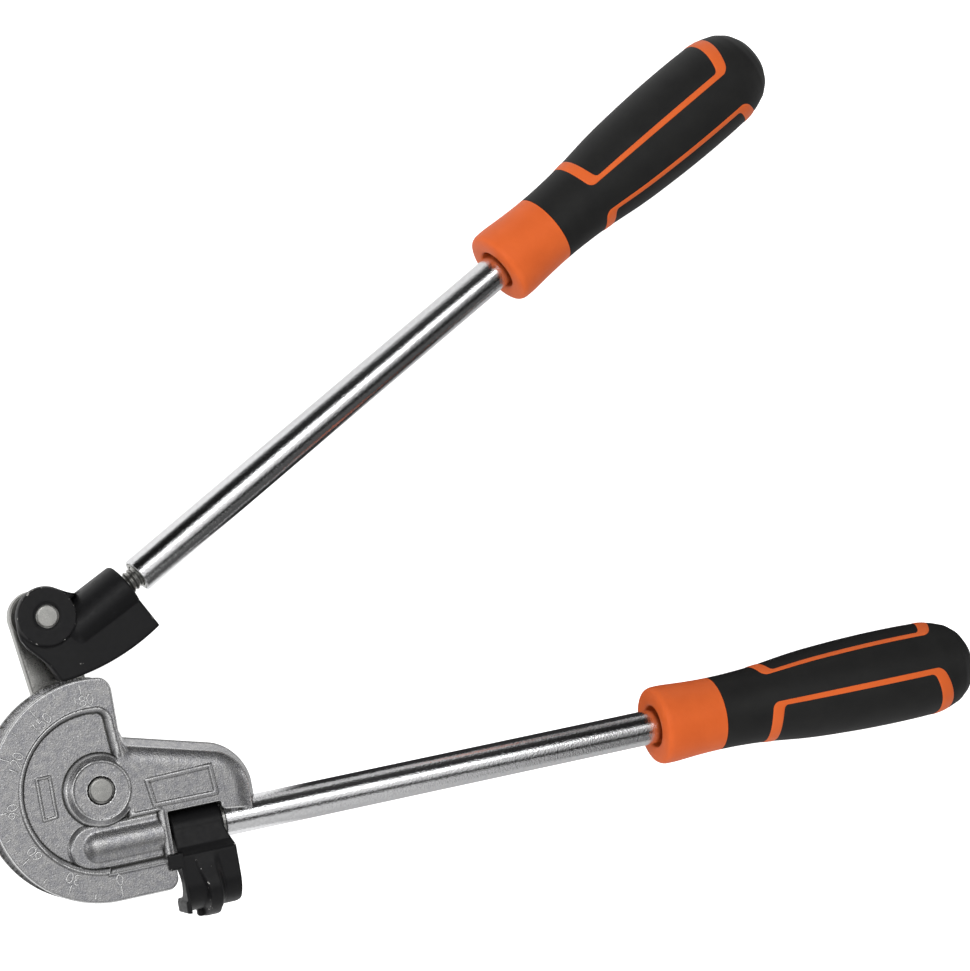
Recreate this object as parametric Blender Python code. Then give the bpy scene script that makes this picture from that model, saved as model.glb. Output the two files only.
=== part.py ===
"""Lever tube bender for 12 mm pipe, lying flat on a bench, scale side up.

Metres, +Z up. The origin is on the axis of the main pivot pin, at the bench. +X runs along the
fixed handle towards its grip, +Y points away from the straight end of the form wheel's groove.
The form wheel, its arm and the fixed handle stay still. A link bar behind the wheel swings on
the main pin and carries the bending shoe with the second handle. A hook on the fixed handle's
stud closes over the pipe.
"""
import math

import bmesh
import bpy
from mathutils import Vector

# Pipe and bend
pipe_radius = 0.0060
pipe_clearance = 0.00015
bend_radius = 0.0420
groove_radius = pipe_radius + pipe_clearance

# Stack through the thickness, about the middle plane of the pipe
fit_gap = 0.0003
casting_half = 0.0093
washer_thickness = 0.0010
link_thickness = 0.0050
overrun = 0.0040

# Form wheel
rim_past_pipe_centre = 0.0010
rim_radius = bend_radius + rim_past_pipe_centre
rim_edge_round = 0.0007
wheel_flat_x = 0.0100
wheel_corner_round = 0.0045
tail_corner_round = 0.0050
wheel_inner_join = 0.0050
rim_band_width = 0.0115
recess_depth = 0.0032
recess_fillet = 0.0010
recess_corner_round = 0.0035
recess_right_x = 0.0060
land_over_trough = 0.0034
hub_radius = 0.0115
hub_rise = 0.0005
hub_chamfer = 0.0005
groove_lead_degrees = 64.0
dome_step_degrees = 15
main_pin_radius = 0.0050

# Arm of the casting
arm_edge_round = 0.0032
arm_left_x = 0.0050
lug_length = 0.0135
arm_end_round = 0.0190
arm_top_left = (0.0150, 0.0175)
arm_top_right = (0.0530, 0.0077)
lug_bottom_rise = 0.0028
notch_top_rise = 0.0079
notch_left_x = 0.0252
notch_end_gap = 0.0022
notch_lug_round = 0.0025
notch_inner_round = 0.0008
frame_low = (0.0172, -0.0075)
frame_high = (0.0431, 0.0026)
frame_border = 0.0009
frame_rise = 0.0005

# Fixed handle: its stud, socket and tube
pipe_drop = 0.0208
stud_radius = 0.0044
tube_radius = 0.0070
tube_wall = 0.0010
tube_chamfer = 0.0005
stud_chamfer = 0.0007
barrel_radius = 0.0094
barrel_dome_x = -0.0045
end_wall_thickness = 0.0036
pedestal_half_width = 0.0093
pedestal_start_x = -0.0160
pedestal_drop = 0.0017
pedestal_round = 0.0010
socket_depth = 0.0270
socket_end_gap = 0.0010
stud_in_tube = 0.0200
insert_length = 0.0180

# Hook
hook_shell_overhang = 0.0025
hook_shell_width = 0.0228
hook_sleeve_radius = 0.0074
hook_wall = 0.0054
hook_rib_height = 0.0032
hook_rib_width = 0.0084
hook_rib_offset = -0.0010
hook_neck_drop = 0.0094
hook_neck_rise = 0.0110
hook_waist_drop = 0.0076
hook_waist_rise = 0.0086
hook_neck_floor = 0.0030
hook_shell_degrees = 60.0
hook_rib_start_degrees = 70.0
hook_rib_end_degrees = 172.0
hook_tip_reach = 0.0035
hook_tab_thickness = 0.0020
hook_tab_height = 0.0062
hook_tab_drop = 0.0082
hook_tab_reach = 0.0048
hook_ear_height = 0.0048
hook_ear_reach = 0.0018
hook_ear_overlap = 0.0014
hook_ear_drop = 0.0002
hook_edge_round = 0.0007
hook_shell_inset = 0.0002
hook_neck_inset = 0.0001
hook_washer_thickness = 0.0010

# Link bar and its two pins
shoe_rim_gap = 0.00083
link_degrees = 97.4
link_width = 0.0230
link_edge_round = 0.0008
washer_radius = 0.0095
shoe_pin_radius = 0.0046
pin_head_radius = 0.0080
pin_head_height = 0.0025
pin_head_round = 0.0012
pin_end_chamfer = 0.0006

# Bending shoe
shoe_degrees = 29.2
shoe_half = 0.0080
shoe_axis_drop = 0.0120
shoe_hub_radius = 0.0109
shoe_hub_rise = 0.0003
shoe_hub_chamfer = 0.0004
shoe_end_x = 0.0327
shoe_left_x = -0.0110
shoe_barrel_radius = 0.0098
shoe_face_radius = 0.0920
shoe_face_low_x = 0.0270
shoe_face_drop = 0.0316
shoe_flank_step = 0.0010
shoe_edge_round = 0.0006
shoe_neck_round = 0.0070
shoe_neck_edge_round = 0.0024
shoe_track_degrees = (235.0, 285.0)
shoe_socket_depth = 0.0220
shoe_tube_gap = 0.0064

# Handles and grips
fixed_grip_start_x = 0.2320
moving_grip_start_x = 0.2318
grip_length = 0.1485
grip_wall = 0.0129
grip_seam = 0.0284
grip_hole_gap = 0.0012
grip_hole_depth = 0.0050
grip_hole_lip = 0.0010
grip_front_land = 0.0033
grip_end_wall = 0.0060
tube_end_gap = 0.0010
grip_tube_cover = 0.0175

# Outline of the grip, as shares of its length and of its largest radius
grip_form_shares = (
    (0.0350, 0.812), (0.0700, 0.798), (0.1100, 0.775), (0.1667, 0.762), (0.2083, 0.760),
    (0.2500, 0.765), (0.2917, 0.782), (0.3333, 0.803), (0.3750, 0.838), (0.4167, 0.875),
    (0.4583, 0.910), (0.5000, 0.934), (0.5600, 0.960), (0.6250, 0.983), (0.7000, 0.998),
    (0.7700, 1.000), (0.8333, 0.991), (0.8750, 0.977),
)
grip_dome_share = 0.8750
grip_front_share = 0.0350
grip_dome_degrees = (12, 90, 13)
grip_front_step_degrees = 22

# Facets
round_facets = 40
grip_facets = 36
groove_facets = 24
corner_facets = 28
weld_distance = 0.000002
sharp_degrees = 35.0


def clear_scene():
    for old in list(bpy.data.objects):
        bpy.data.objects.remove(old, do_unlink=True)


def finish(name, colour, roughness, metallic):
    material = bpy.data.materials.new(name)
    material.use_nodes = True
    shader = material.node_tree.nodes["Principled BSDF"]
    shader.inputs["Base Color"].default_value = (*colour, 1.0)
    shader.inputs["Roughness"].default_value = roughness
    shader.inputs["Metallic"].default_value = metallic
    return material


def pivot(name, place, degrees=0.0, parent=None):
    """An empty that stands on a joint's axis and carries the pieces that turn there."""
    empty = bpy.data.objects.new(name, None)
    empty.location = place
    empty.rotation_euler = (0.0, 0.0, math.radians(degrees))
    empty.parent = parent
    bpy.context.collection.objects.link(empty)
    return empty


def add_piece(name, shape, material, parent, place=(0.0, 0.0, 0.0), turn=(0.0, 0.0, 0.0)):
    """Turn a bmesh into a named object, shaded smooth between its sharp edges."""
    bmesh.ops.remove_doubles(shape, verts=shape.verts, dist=weld_distance)
    bmesh.ops.recalc_face_normals(shape, faces=shape.faces)
    mesh = bpy.data.meshes.new(name)
    shape.to_mesh(mesh)
    shape.free()
    if material is not None:
        mesh.materials.append(material)
    mesh.shade_smooth()
    mesh.set_sharp_from_angle(angle=math.radians(sharp_degrees))
    piece = bpy.data.objects.new(name, mesh)
    piece.parent = parent
    piece.location = place
    piece.rotation_euler = turn
    bpy.context.collection.objects.link(piece)
    return piece


def combine(piece, tool, operation):
    """Join a tool shape to a piece, or cut it away, and hide the tool."""
    step = piece.modifiers.new(operation.lower() + "_" + tool.name, "BOOLEAN")
    step.operation = operation
    step.solver = "EXACT"
    step.object = tool
    tool.hide_render = True
    tool.display_type = "WIRE"


def arc(centre, radius, start, end, facets=corner_facets):
    """Points on a round stretch, from one angle to another, in degrees."""
    count = max(2, round(facets * abs(end - start) / 360.0))
    points = []
    for step in range(count + 1):
        angle = math.radians(start + (end - start) * step / count)
        points.append((centre[0] + radius * math.cos(angle), centre[1] + radius * math.sin(angle)))
    return points


def rounded(corners, facets=corner_facets):
    """Close an outline through corners given as (x, y) or (x, y, radius)."""
    points = []
    for index, corner in enumerate(corners):
        here = Vector(corner[:2])
        if len(corner) == 2 or corner[2] == 0.0:
            points.append(here[:])
            continue
        back = (Vector(corners[index - 1][:2]) - here).normalized()
        ahead = (Vector(corners[(index + 1) % len(corners)][:2]) - here).normalized()
        half = back.angle(ahead) / 2.0
        centre = here + (back + ahead).normalized() * corner[2] / math.sin(half)
        first = here + back * corner[2] / math.tan(half) - centre
        last = here + ahead * corner[2] / math.tan(half) - centre
        turn = first.angle_signed(last)
        count = max(2, round(facets * abs(turn) / math.tau))
        for step in range(count + 1):
            angle = -turn * step / count
            cosine, sine = math.cos(angle), math.sin(angle)
            points.append((centre.x + first.x * cosine - first.y * sine,
                           centre.y + first.x * sine + first.y * cosine))
    return points


def prism(outline, low, high, low_round=0.0, high_round=0.0, segments=2):
    """Extrude an outline up, and round the edges of its two ends."""
    shape = bmesh.new()
    floor = shape.faces.new([shape.verts.new((x, y, low)) for x, y in outline])
    lifted = bmesh.ops.extrude_face_region(shape, geom=[floor])["geom"]
    top_verts = [item for item in lifted if isinstance(item, bmesh.types.BMVert)]
    bmesh.ops.translate(shape, verts=top_verts, vec=(0.0, 0.0, high - low))
    bmesh.ops.recalc_face_normals(shape, faces=shape.faces)
    for level, size in ((low, low_round), (high, high_round)):
        if size > 0.0:
            rim = [edge for edge in shape.edges
                   if all(abs(vert.co.z - level) < weld_distance for vert in edge.verts)]
            bmesh.ops.bevel(shape, geom=rim, offset=size, segments=segments, profile=0.5,
                            affect="EDGES", clamp_overlap=True)
    return shape


def turned(profile, closed=False, facets=round_facets):
    """Spin a profile of (radius, height) pairs about Z, from axis to axis or as a closed loop."""
    shape = bmesh.new()
    line = [shape.verts.new((radius, 0.0, height)) for radius, height in profile]
    edges = [shape.edges.new(pair) for pair in zip(line, line[1:])]
    if closed:
        edges.append(shape.edges.new((line[-1], line[0])))
    bmesh.ops.spin(shape, geom=line + edges, cent=(0.0, 0.0, 0.0), axis=(0.0, 0.0, 1.0),
                   angle=math.tau, steps=facets, use_merge=True)
    return shape


def rod(radius, low, high, low_chamfer=0.0, high_chamfer=0.0, facets=round_facets):
    """A round bar about Z with chamfered ends."""
    profile = [(0.0, low), (radius - low_chamfer, low)]
    if low_chamfer > 0.0:
        profile.append((radius, low + low_chamfer))
    if high_chamfer > 0.0:
        profile.append((radius, high - high_chamfer))
    profile.append((radius - high_chamfer, high))
    profile.append((0.0, high))
    return turned(profile, facets=facets)


def ring(inner, outer, low, high, chamfer=0.0, facets=round_facets):
    """A washer or a tube about Z, chamfered outside."""
    profile = [(inner, low), (outer - chamfer, low)]
    if chamfer > 0.0:
        profile.append((outer, low + chamfer))
        profile.append((outer, high - chamfer))
    profile.append((outer - chamfer, high))
    profile.append((inner, high))
    return turned(profile, closed=True, facets=facets)


def swept_rod(path, radius, facets=groove_facets):
    """A round bar along a path in the XY plane."""
    shape = bmesh.new()
    rings = []
    for index, place in enumerate(path):
        before = Vector(path[max(index - 1, 0)])
        after = Vector(path[min(index + 1, len(path) - 1)])
        along = (after - before).normalized()
        across = Vector((-along.y, along.x))
        loop = []
        for step in range(facets):
            angle = math.tau * step / facets
            side = Vector(place) + across * radius * math.cos(angle)
            loop.append(shape.verts.new((side.x, side.y, radius * math.sin(angle))))
        rings.append(loop)
    for lower, upper in zip(rings, rings[1:]):
        for step in range(facets):
            following = (step + 1) % facets
            shape.faces.new((lower[step], lower[following], upper[following], upper[step]))
    shape.faces.new(rings[0])
    shape.faces.new(rings[-1])
    return shape


along_x = (0.0, math.radians(90.0), 0.0)

clear_scene()

cast_aluminium = finish("cast_aluminium", (0.62, 0.62, 0.63), 0.38, 1.0)
chrome = finish("chrome", (0.80, 0.80, 0.81), 0.08, 1.0)
zinc_steel = finish("zinc_steel", (0.60, 0.59, 0.56), 0.35, 1.0)
black_paint = finish("black_paint", (0.028, 0.028, 0.029), 0.42, 0.0)
orange_plastic = finish("orange_plastic", (0.72, 0.13, 0.025), 0.45, 0.0)
black_rubber = finish("black_rubber", (0.030, 0.030, 0.031), 0.65, 0.0)


def link_reach():
    """Length of the link at which the shoe's face keeps its gap to the wheel's rim."""
    face_centre = Vector((shoe_face_low_x, shoe_face_radius - shoe_face_drop))
    turn = math.radians(link_degrees - shoe_degrees)
    along = face_centre.dot(Vector((math.cos(turn), math.sin(turn))))
    distance = shoe_face_radius + rim_radius + shoe_rim_gap
    return math.sqrt(distance ** 2 - face_centre.length_squared + along ** 2) - along


# Places that follow from the sizes above
recess_radius = rim_radius - rim_band_width
handle_axis_y = pipe_drop - bend_radius
lug_bottom_y = handle_axis_y + lug_bottom_rise
notch_top_y = handle_axis_y + notch_top_rise
trough_top = handle_axis_y + pedestal_half_width + recess_fillet
hub_land_radius = land_over_trough - trough_top
link_length = link_reach()
grip_radius = tube_radius + grip_wall
waist_radius = grip_radius * min(share for _, share in grip_form_shares)
grip_core_radius = (tube_radius + fit_gap + waist_radius) / 2.0
grip_hole_radius = tube_radius + grip_hole_gap
grip_front_flat_radius = grip_hole_radius + grip_front_land
tube_in_grip = grip_length - grip_tube_cover
recess_floor = casting_half - recess_depth
main_hole_radius = main_pin_radius + fit_gap
link_front = -casting_half - fit_gap - washer_thickness - fit_gap
link_back = link_front - link_thickness
head_front = link_back - fit_gap - washer_thickness - fit_gap
head_back = head_front - pin_head_height
middle_height = -head_back
tube_bore = tube_radius - tube_wall
socket_radius = stud_radius + fit_gap
hook_start_x = notch_left_x + fit_gap
hook_shell_end_x = hook_start_x + hook_shell_width
hook_end_x = hook_shell_end_x - hook_shell_overhang
notch_right_x = hook_end_x + notch_end_gap
arm_end_x = notch_right_x + lug_length
hook_washer_start_x = hook_end_x + fit_gap
fixed_tube_start_x = hook_washer_start_x + hook_washer_thickness + fit_gap
fixed_stud_start_x = notch_left_x - socket_depth + socket_end_gap

form_frame = pivot("form_frame", (0.0, 0.0, middle_height))
link_frame = pivot("link_pivot", (0.0, 0.0, middle_height), link_degrees)
link_way = Vector((math.cos(math.radians(link_degrees)), math.sin(math.radians(link_degrees))))
shoe_place = link_way * link_length
shoe_frame = pivot("shoe_pivot", (shoe_place.x, shoe_place.y, middle_height), shoe_degrees)
hook_frame = pivot("hook_pivot", (0.0, handle_axis_y, middle_height))


def wheel_outline():
    """Round rim, a flat beside the arm, and a straight tail for the start of the bend."""
    fillet_x = wheel_flat_x - wheel_corner_round
    fillet_y = math.sqrt((rim_radius - wheel_corner_round) ** 2 - fillet_x ** 2)
    meeting = math.degrees(math.atan2(fillet_y, fillet_x))
    points = [(notch_left_x, -wheel_inner_join), (wheel_flat_x, -wheel_inner_join)]
    points += arc((fillet_x, fillet_y), wheel_corner_round, 0.0, meeting)
    points += arc((0.0, 0.0), rim_radius, meeting, 270.0, round_facets * 2)[1:]
    tail_centre = (notch_left_x - tail_corner_round, -rim_radius + tail_corner_round)
    points += arc(tail_centre, tail_corner_round, 270.0, 360.0)
    return points


def arm_outline():
    """Arm from the hub to the lug, with its sloping back and one large corner."""
    slope = (arm_top_right[1] - arm_top_left[1]) / (arm_top_right[0] - arm_top_left[0])
    corner_y = arm_top_left[1] + slope * (arm_end_x - arm_top_left[0])
    left_y = arm_top_left[1] + slope * (arm_left_x - arm_top_left[0])
    floor_y = handle_axis_y - overrun
    return rounded([(arm_left_x, left_y), (arm_left_x, floor_y), (arm_end_x, floor_y),
                    (arm_end_x, corner_y, arm_end_round)])


def notch_outline():
    """Everything under the arm: the hook's notch and the space below the lug."""
    far_x = arm_end_x + overrun
    low_y = -rim_radius - overrun
    return rounded([(notch_left_x, low_y), (far_x, low_y), (far_x, lug_bottom_y),
                    (notch_right_x, lug_bottom_y, notch_lug_round),
                    (notch_right_x, notch_top_y, notch_inner_round),
                    (notch_left_x, notch_top_y, notch_inner_round)])


def recess_outline():
    """C-shaped pocket round the hub that opens into the trough of the handle's socket."""
    top_y = math.sqrt(recess_radius ** 2 - recess_right_x ** 2)
    start = math.degrees(math.atan2(top_y, recess_right_x))
    land_low = -math.degrees(math.acos(math.sqrt(1.0 - (trough_top / hub_land_radius) ** 2)))
    land_high = math.degrees(math.acos(recess_right_x / hub_land_radius))
    wall_x = notch_left_x - end_wall_thickness
    points = [(recess_right_x, top_y, recess_corner_round)]
    points += arc((0.0, 0.0), recess_radius, start, 270.0, round_facets)[2:]
    points += [(wall_x, -recess_radius), (wall_x, trough_top)]
    points += arc((0.0, 0.0), hub_land_radius, land_low, land_high - 360.0, round_facets)
    return rounded(points)


def pedestal_outline():
    """Low plateau round the handle's socket, with a round left end."""
    end_x = notch_left_x - end_wall_thickness / 2.0
    centre = (pedestal_start_x + pedestal_half_width, handle_axis_y)
    points = arc(centre, pedestal_half_width, 90.0, 270.0, round_facets)
    return points + [(end_x, handle_axis_y - pedestal_half_width),
                     (end_x, handle_axis_y + pedestal_half_width)]


def groove_path():
    """Centre line of the pipe: round the wheel, then straight along its tail."""
    path = arc((0.0, 0.0), bend_radius, groove_lead_degrees, 270.0, round_facets * 2)
    return path + [(notch_left_x + overrun, -bend_radius)]


def make_form_wheel():
    """Die-cast wheel, arm, handle socket and lug in one piece."""
    wheel = add_piece("form_wheel", prism(wheel_outline(), -casting_half, casting_half,
                                          rim_edge_round, rim_edge_round),
                      cast_aluminium, form_frame)
    arm = add_piece("arm_form", prism(arm_outline(), -casting_half, casting_half,
                                      arm_edge_round, arm_edge_round, 3), None, form_frame)
    combine(wheel, arm, "UNION")
    pocket_top = casting_half + overrun
    front = add_piece("front_recess_cutter", prism(recess_outline(), recess_floor, pocket_top,
                                                   recess_fillet), None, form_frame)
    rear = add_piece("rear_recess_cutter", prism(recess_outline(), -pocket_top, -recess_floor,
                                                 0.0, recess_fillet), None, form_frame)
    combine(wheel, front, "DIFFERENCE")
    combine(wheel, rear, "DIFFERENCE")
    notch = add_piece("notch_cutter", prism(notch_outline(), -pocket_top, pocket_top),
                      None, form_frame)
    combine(wheel, notch, "DIFFERENCE")
    pedestal_top = casting_half - pedestal_drop
    pedestal = add_piece("pedestal_form", prism(pedestal_outline(), -pedestal_top, pedestal_top,
                                                pedestal_round, pedestal_round),
                         None, form_frame)
    combine(wheel, pedestal, "UNION")
    dome = [(barrel_radius * math.sin(math.radians(angle)),
             barrel_dome_x - barrel_radius * math.cos(math.radians(angle)))
            for angle in range(0, 91, dome_step_degrees)]
    barrel_end = notch_left_x - end_wall_thickness + fit_gap
    barrel = add_piece("barrel_form", turned(dome + [(barrel_radius, barrel_end),
                                                     (0.0, barrel_end)]),
                       None, form_frame, (0.0, handle_axis_y, 0.0), along_x)
    combine(wheel, barrel, "UNION")
    hub = add_piece("hub_form", rod(hub_radius, 0.0, casting_half + hub_rise, 0.0, hub_chamfer),
                    None, form_frame)
    combine(wheel, hub, "UNION")
    saddle_start = notch_right_x - overrun
    saddle = add_piece("saddle_cutter", rod(tube_radius + fit_gap, saddle_start,
                                            arm_end_x + overrun),
                       None, form_frame, (0.0, handle_axis_y, 0.0), along_x)
    combine(wheel, saddle, "DIFFERENCE")
    socket = add_piece("socket_cutter", rod(socket_radius, notch_left_x - socket_depth,
                                            notch_left_x + overrun),
                       None, form_frame, (0.0, handle_axis_y, 0.0), along_x)
    combine(wheel, socket, "DIFFERENCE")
    bore = add_piece("main_bore_cutter", rod(main_hole_radius, -pocket_top, pocket_top),
                     None, form_frame)
    combine(wheel, bore, "DIFFERENCE")
    groove = add_piece("groove_cutter", swept_rod(groove_path(), groove_radius), None, form_frame)
    combine(wheel, groove, "DIFFERENCE")
    frame = add_piece("plate_frame_form", raised_frame(), None, form_frame)
    combine(wheel, frame, "UNION")
    return wheel


def raised_frame():
    """Empty raised border on the arm's face, sunk a little into it so that the two join."""
    shape = bmesh.new()
    base = casting_half - frame_rise
    corners = [(frame_low[0], frame_low[1]), (frame_high[0], frame_low[1]),
               (frame_high[0], frame_high[1]), (frame_low[0], frame_high[1])]
    face = shape.faces.new([shape.verts.new((x, y, base)) for x, y in corners])
    bmesh.ops.inset_region(shape, faces=[face], thickness=frame_border, use_even_offset=True)
    bmesh.ops.delete(shape, geom=[face], context="FACES_ONLY")
    border = list(shape.faces)
    lifted = bmesh.ops.extrude_face_region(shape, geom=border)["geom"]
    top = [item for item in lifted if isinstance(item, bmesh.types.BMVert)]
    bmesh.ops.translate(shape, verts=top, vec=(0.0, 0.0, frame_rise * 2.0))
    return shape


def hook_profile():
    """Outline of the hook's shell seen along the stud: Y across, and Z as the second value.

    It leaves the sleeve in front, runs round the pipe at the thickness of its wall, and its
    lip reaches a little behind the pipe's centre.
    """
    inner = groove_radius
    outer = inner + hook_wall
    lip_y = -pipe_drop - inner
    bottom_y = -pipe_drop - outer
    points = [(-hook_neck_drop, hook_neck_rise)]
    points += arc((-pipe_drop, 0.0), outer, hook_shell_degrees, 180.0, round_facets)
    points += [(bottom_y, -hook_tip_reach), (lip_y, -hook_tip_reach)]
    points += arc((-pipe_drop, 0.0), inner, 180.0, hook_shell_degrees, round_facets)
    return points + [(-hook_neck_drop, hook_neck_floor)]


def hook_rib_profile():
    """Stiffening rib along the hook's back, higher where it rounds the pipe."""
    outer = groove_radius + hook_wall
    rib = outer + hook_rib_height
    points = [(-hook_neck_drop, hook_neck_rise - hook_edge_round)]
    points += [(-hook_neck_drop - hook_edge_round, hook_neck_rise)]
    points += arc((-pipe_drop, 0.0), rib, hook_rib_start_degrees, hook_rib_end_degrees)
    return points + arc((-pipe_drop, 0.0), outer - fit_gap, hook_rib_end_degrees,
                        hook_shell_degrees)


def stand_profile(outline, low_x, high_x, edge_round):
    """Extrude a (y, z) outline along X."""
    shape = prism(outline, low_x, high_x, edge_round, edge_round)
    for vert in shape.verts:
        across, up, along = vert.co
        vert.co = (along, across, up)
    return shape


def make_hook():
    """Cast hook that swings on the stud and holds the pipe down in the groove."""
    hook = add_piece("hook", stand_profile(hook_profile(), hook_start_x + hook_shell_inset,
                                           hook_shell_end_x, hook_edge_round),
                     black_paint, hook_frame)
    neck_end_y = -hook_neck_drop - hook_wall / 2.0
    neck_corners = [(0.0, 0.0), (0.0, hook_sleeve_radius), (-hook_waist_drop, hook_waist_rise),
                    (-hook_neck_drop, hook_neck_rise - hook_edge_round),
                    (neck_end_y, hook_neck_rise - hook_edge_round),
                    (neck_end_y, hook_neck_floor + hook_edge_round),
                    (-hook_neck_drop, hook_neck_floor)]
    neck = add_piece("hook_neck_form", stand_profile(neck_corners,
                                                     hook_start_x + hook_neck_inset,
                                                     hook_end_x - hook_neck_inset,
                                                     hook_edge_round), None, hook_frame)
    combine(hook, neck, "UNION")
    sleeve = add_piece("hook_sleeve_form", rod(hook_sleeve_radius, hook_start_x, hook_end_x,
                                               hook_edge_round, hook_edge_round),
                       None, hook_frame, turn=along_x)
    combine(hook, sleeve, "UNION")
    rib_middle = (hook_start_x + hook_end_x) / 2.0 + hook_rib_offset
    rib = add_piece("hook_rib_form", stand_profile(hook_rib_profile(),
                                                   rib_middle - hook_rib_width / 2.0,
                                                   rib_middle + hook_rib_width / 2.0,
                                                   hook_edge_round), None, hook_frame)
    combine(hook, rib, "UNION")
    tab_front = casting_half + fit_gap + hook_tab_thickness
    tab_low_y = -hook_tab_drop - hook_tab_height
    tab_corners = [(hook_start_x - hook_tab_reach, tab_low_y), (hook_start_x + overrun, tab_low_y),
                   (hook_start_x + overrun, -hook_tab_drop),
                   (hook_start_x - hook_tab_reach, -hook_tab_drop)]
    tab = add_piece("hook_tab_form", prism(tab_corners, casting_half + fit_gap, tab_front,
                                           hook_edge_round, hook_edge_round), None, hook_frame)
    combine(hook, tab, "UNION")
    ear_top = -pipe_drop - groove_radius - hook_ear_drop
    outer = groove_radius + hook_wall
    ear_corners = [(hook_start_x - hook_ear_reach, ear_top - hook_ear_height),
                   (hook_start_x + hook_ear_overlap, ear_top - hook_ear_height),
                   (hook_start_x + hook_ear_overlap, ear_top),
                   (hook_start_x - hook_ear_reach, ear_top)]
    ear = add_piece("hook_ear_form", prism(ear_corners, -hook_tip_reach / 2.0, outer / 2.0),
                    None, hook_frame)
    combine(hook, ear, "UNION")
    bore = add_piece("hook_bore_cutter", rod(socket_radius, hook_start_x - overrun,
                                             hook_end_x + overrun),
                     None, hook_frame, turn=along_x)
    combine(hook, bore, "DIFFERENCE")
    return hook


def make_link():
    """Flat bar with round ends and a running hole for each pin."""
    half = link_width / 2.0
    outline = arc((0.0, 0.0), half, 90.0, 270.0, round_facets)
    outline += arc((link_length, 0.0), half, -90.0, 90.0, round_facets)
    bar = add_piece("link_bar", prism(outline, link_back, link_front, link_edge_round,
                                      link_edge_round), zinc_steel, link_frame)
    for name, place, radius in (("link_main_hole_cutter", 0.0, main_pin_radius),
                                ("link_shoe_hole_cutter", link_length, shoe_pin_radius)):
        hole = add_piece(name, rod(radius + fit_gap, link_back - overrun, link_front + overrun),
                         None, link_frame, (place, 0.0, 0.0))
        combine(bar, hole, "DIFFERENCE")
    for name, place, radius in (("main", 0.0, main_pin_radius),
                                ("shoe", link_length, shoe_pin_radius)):
        inner = radius + fit_gap
        add_piece(name + "_washer", ring(inner, washer_radius, link_front + fit_gap,
                                         link_front + fit_gap + washer_thickness),
                  zinc_steel, link_frame, (place, 0.0, 0.0))
        add_piece(name + "_rear_washer", ring(inner, washer_radius, head_front + fit_gap,
                                              head_front + fit_gap + washer_thickness),
                  zinc_steel, link_frame, (place, 0.0, 0.0))
    return bar


def make_pin(name, radius, front, parent):
    """Rivet pin with a round head behind the link bar."""
    profile = [(0.0, head_back), (pin_head_radius - pin_head_round, head_back),
               (pin_head_radius, head_back + pin_head_round), (pin_head_radius, head_front),
               (radius, head_front), (radius, front - pin_end_chamfer),
               (radius - pin_end_chamfer, front), (0.0, front)]
    return add_piece(name, turned(profile), zinc_steel, parent)


def shoe_outline():
    """Block under the socket, bounded below by the long curve of its working face."""
    centre = (shoe_face_low_x, -shoe_face_drop + shoe_face_radius)
    end_angle = 270.0 + math.degrees(math.asin((shoe_end_x - shoe_face_low_x) / shoe_face_radius))
    start_angle = 270.0 + math.degrees(math.asin((shoe_left_x - shoe_face_low_x)
                                                 / shoe_face_radius))
    face = arc(centre, shoe_face_radius, start_angle, end_angle, round_facets * 6)
    return rounded(face + [(shoe_end_x, -shoe_axis_drop), (shoe_left_x, 0.0)])


def neck_outline():
    """Web between the hub and the socket, with a hollow curve above it."""
    top_y = -shoe_axis_drop + shoe_barrel_radius
    return rounded([(0.0, -shoe_axis_drop), (shoe_end_x - overrun, -shoe_axis_drop),
                    (shoe_end_x - overrun, top_y), (shoe_hub_radius, top_y, shoe_neck_round),
                    (0.0, shoe_hub_radius)])


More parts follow.
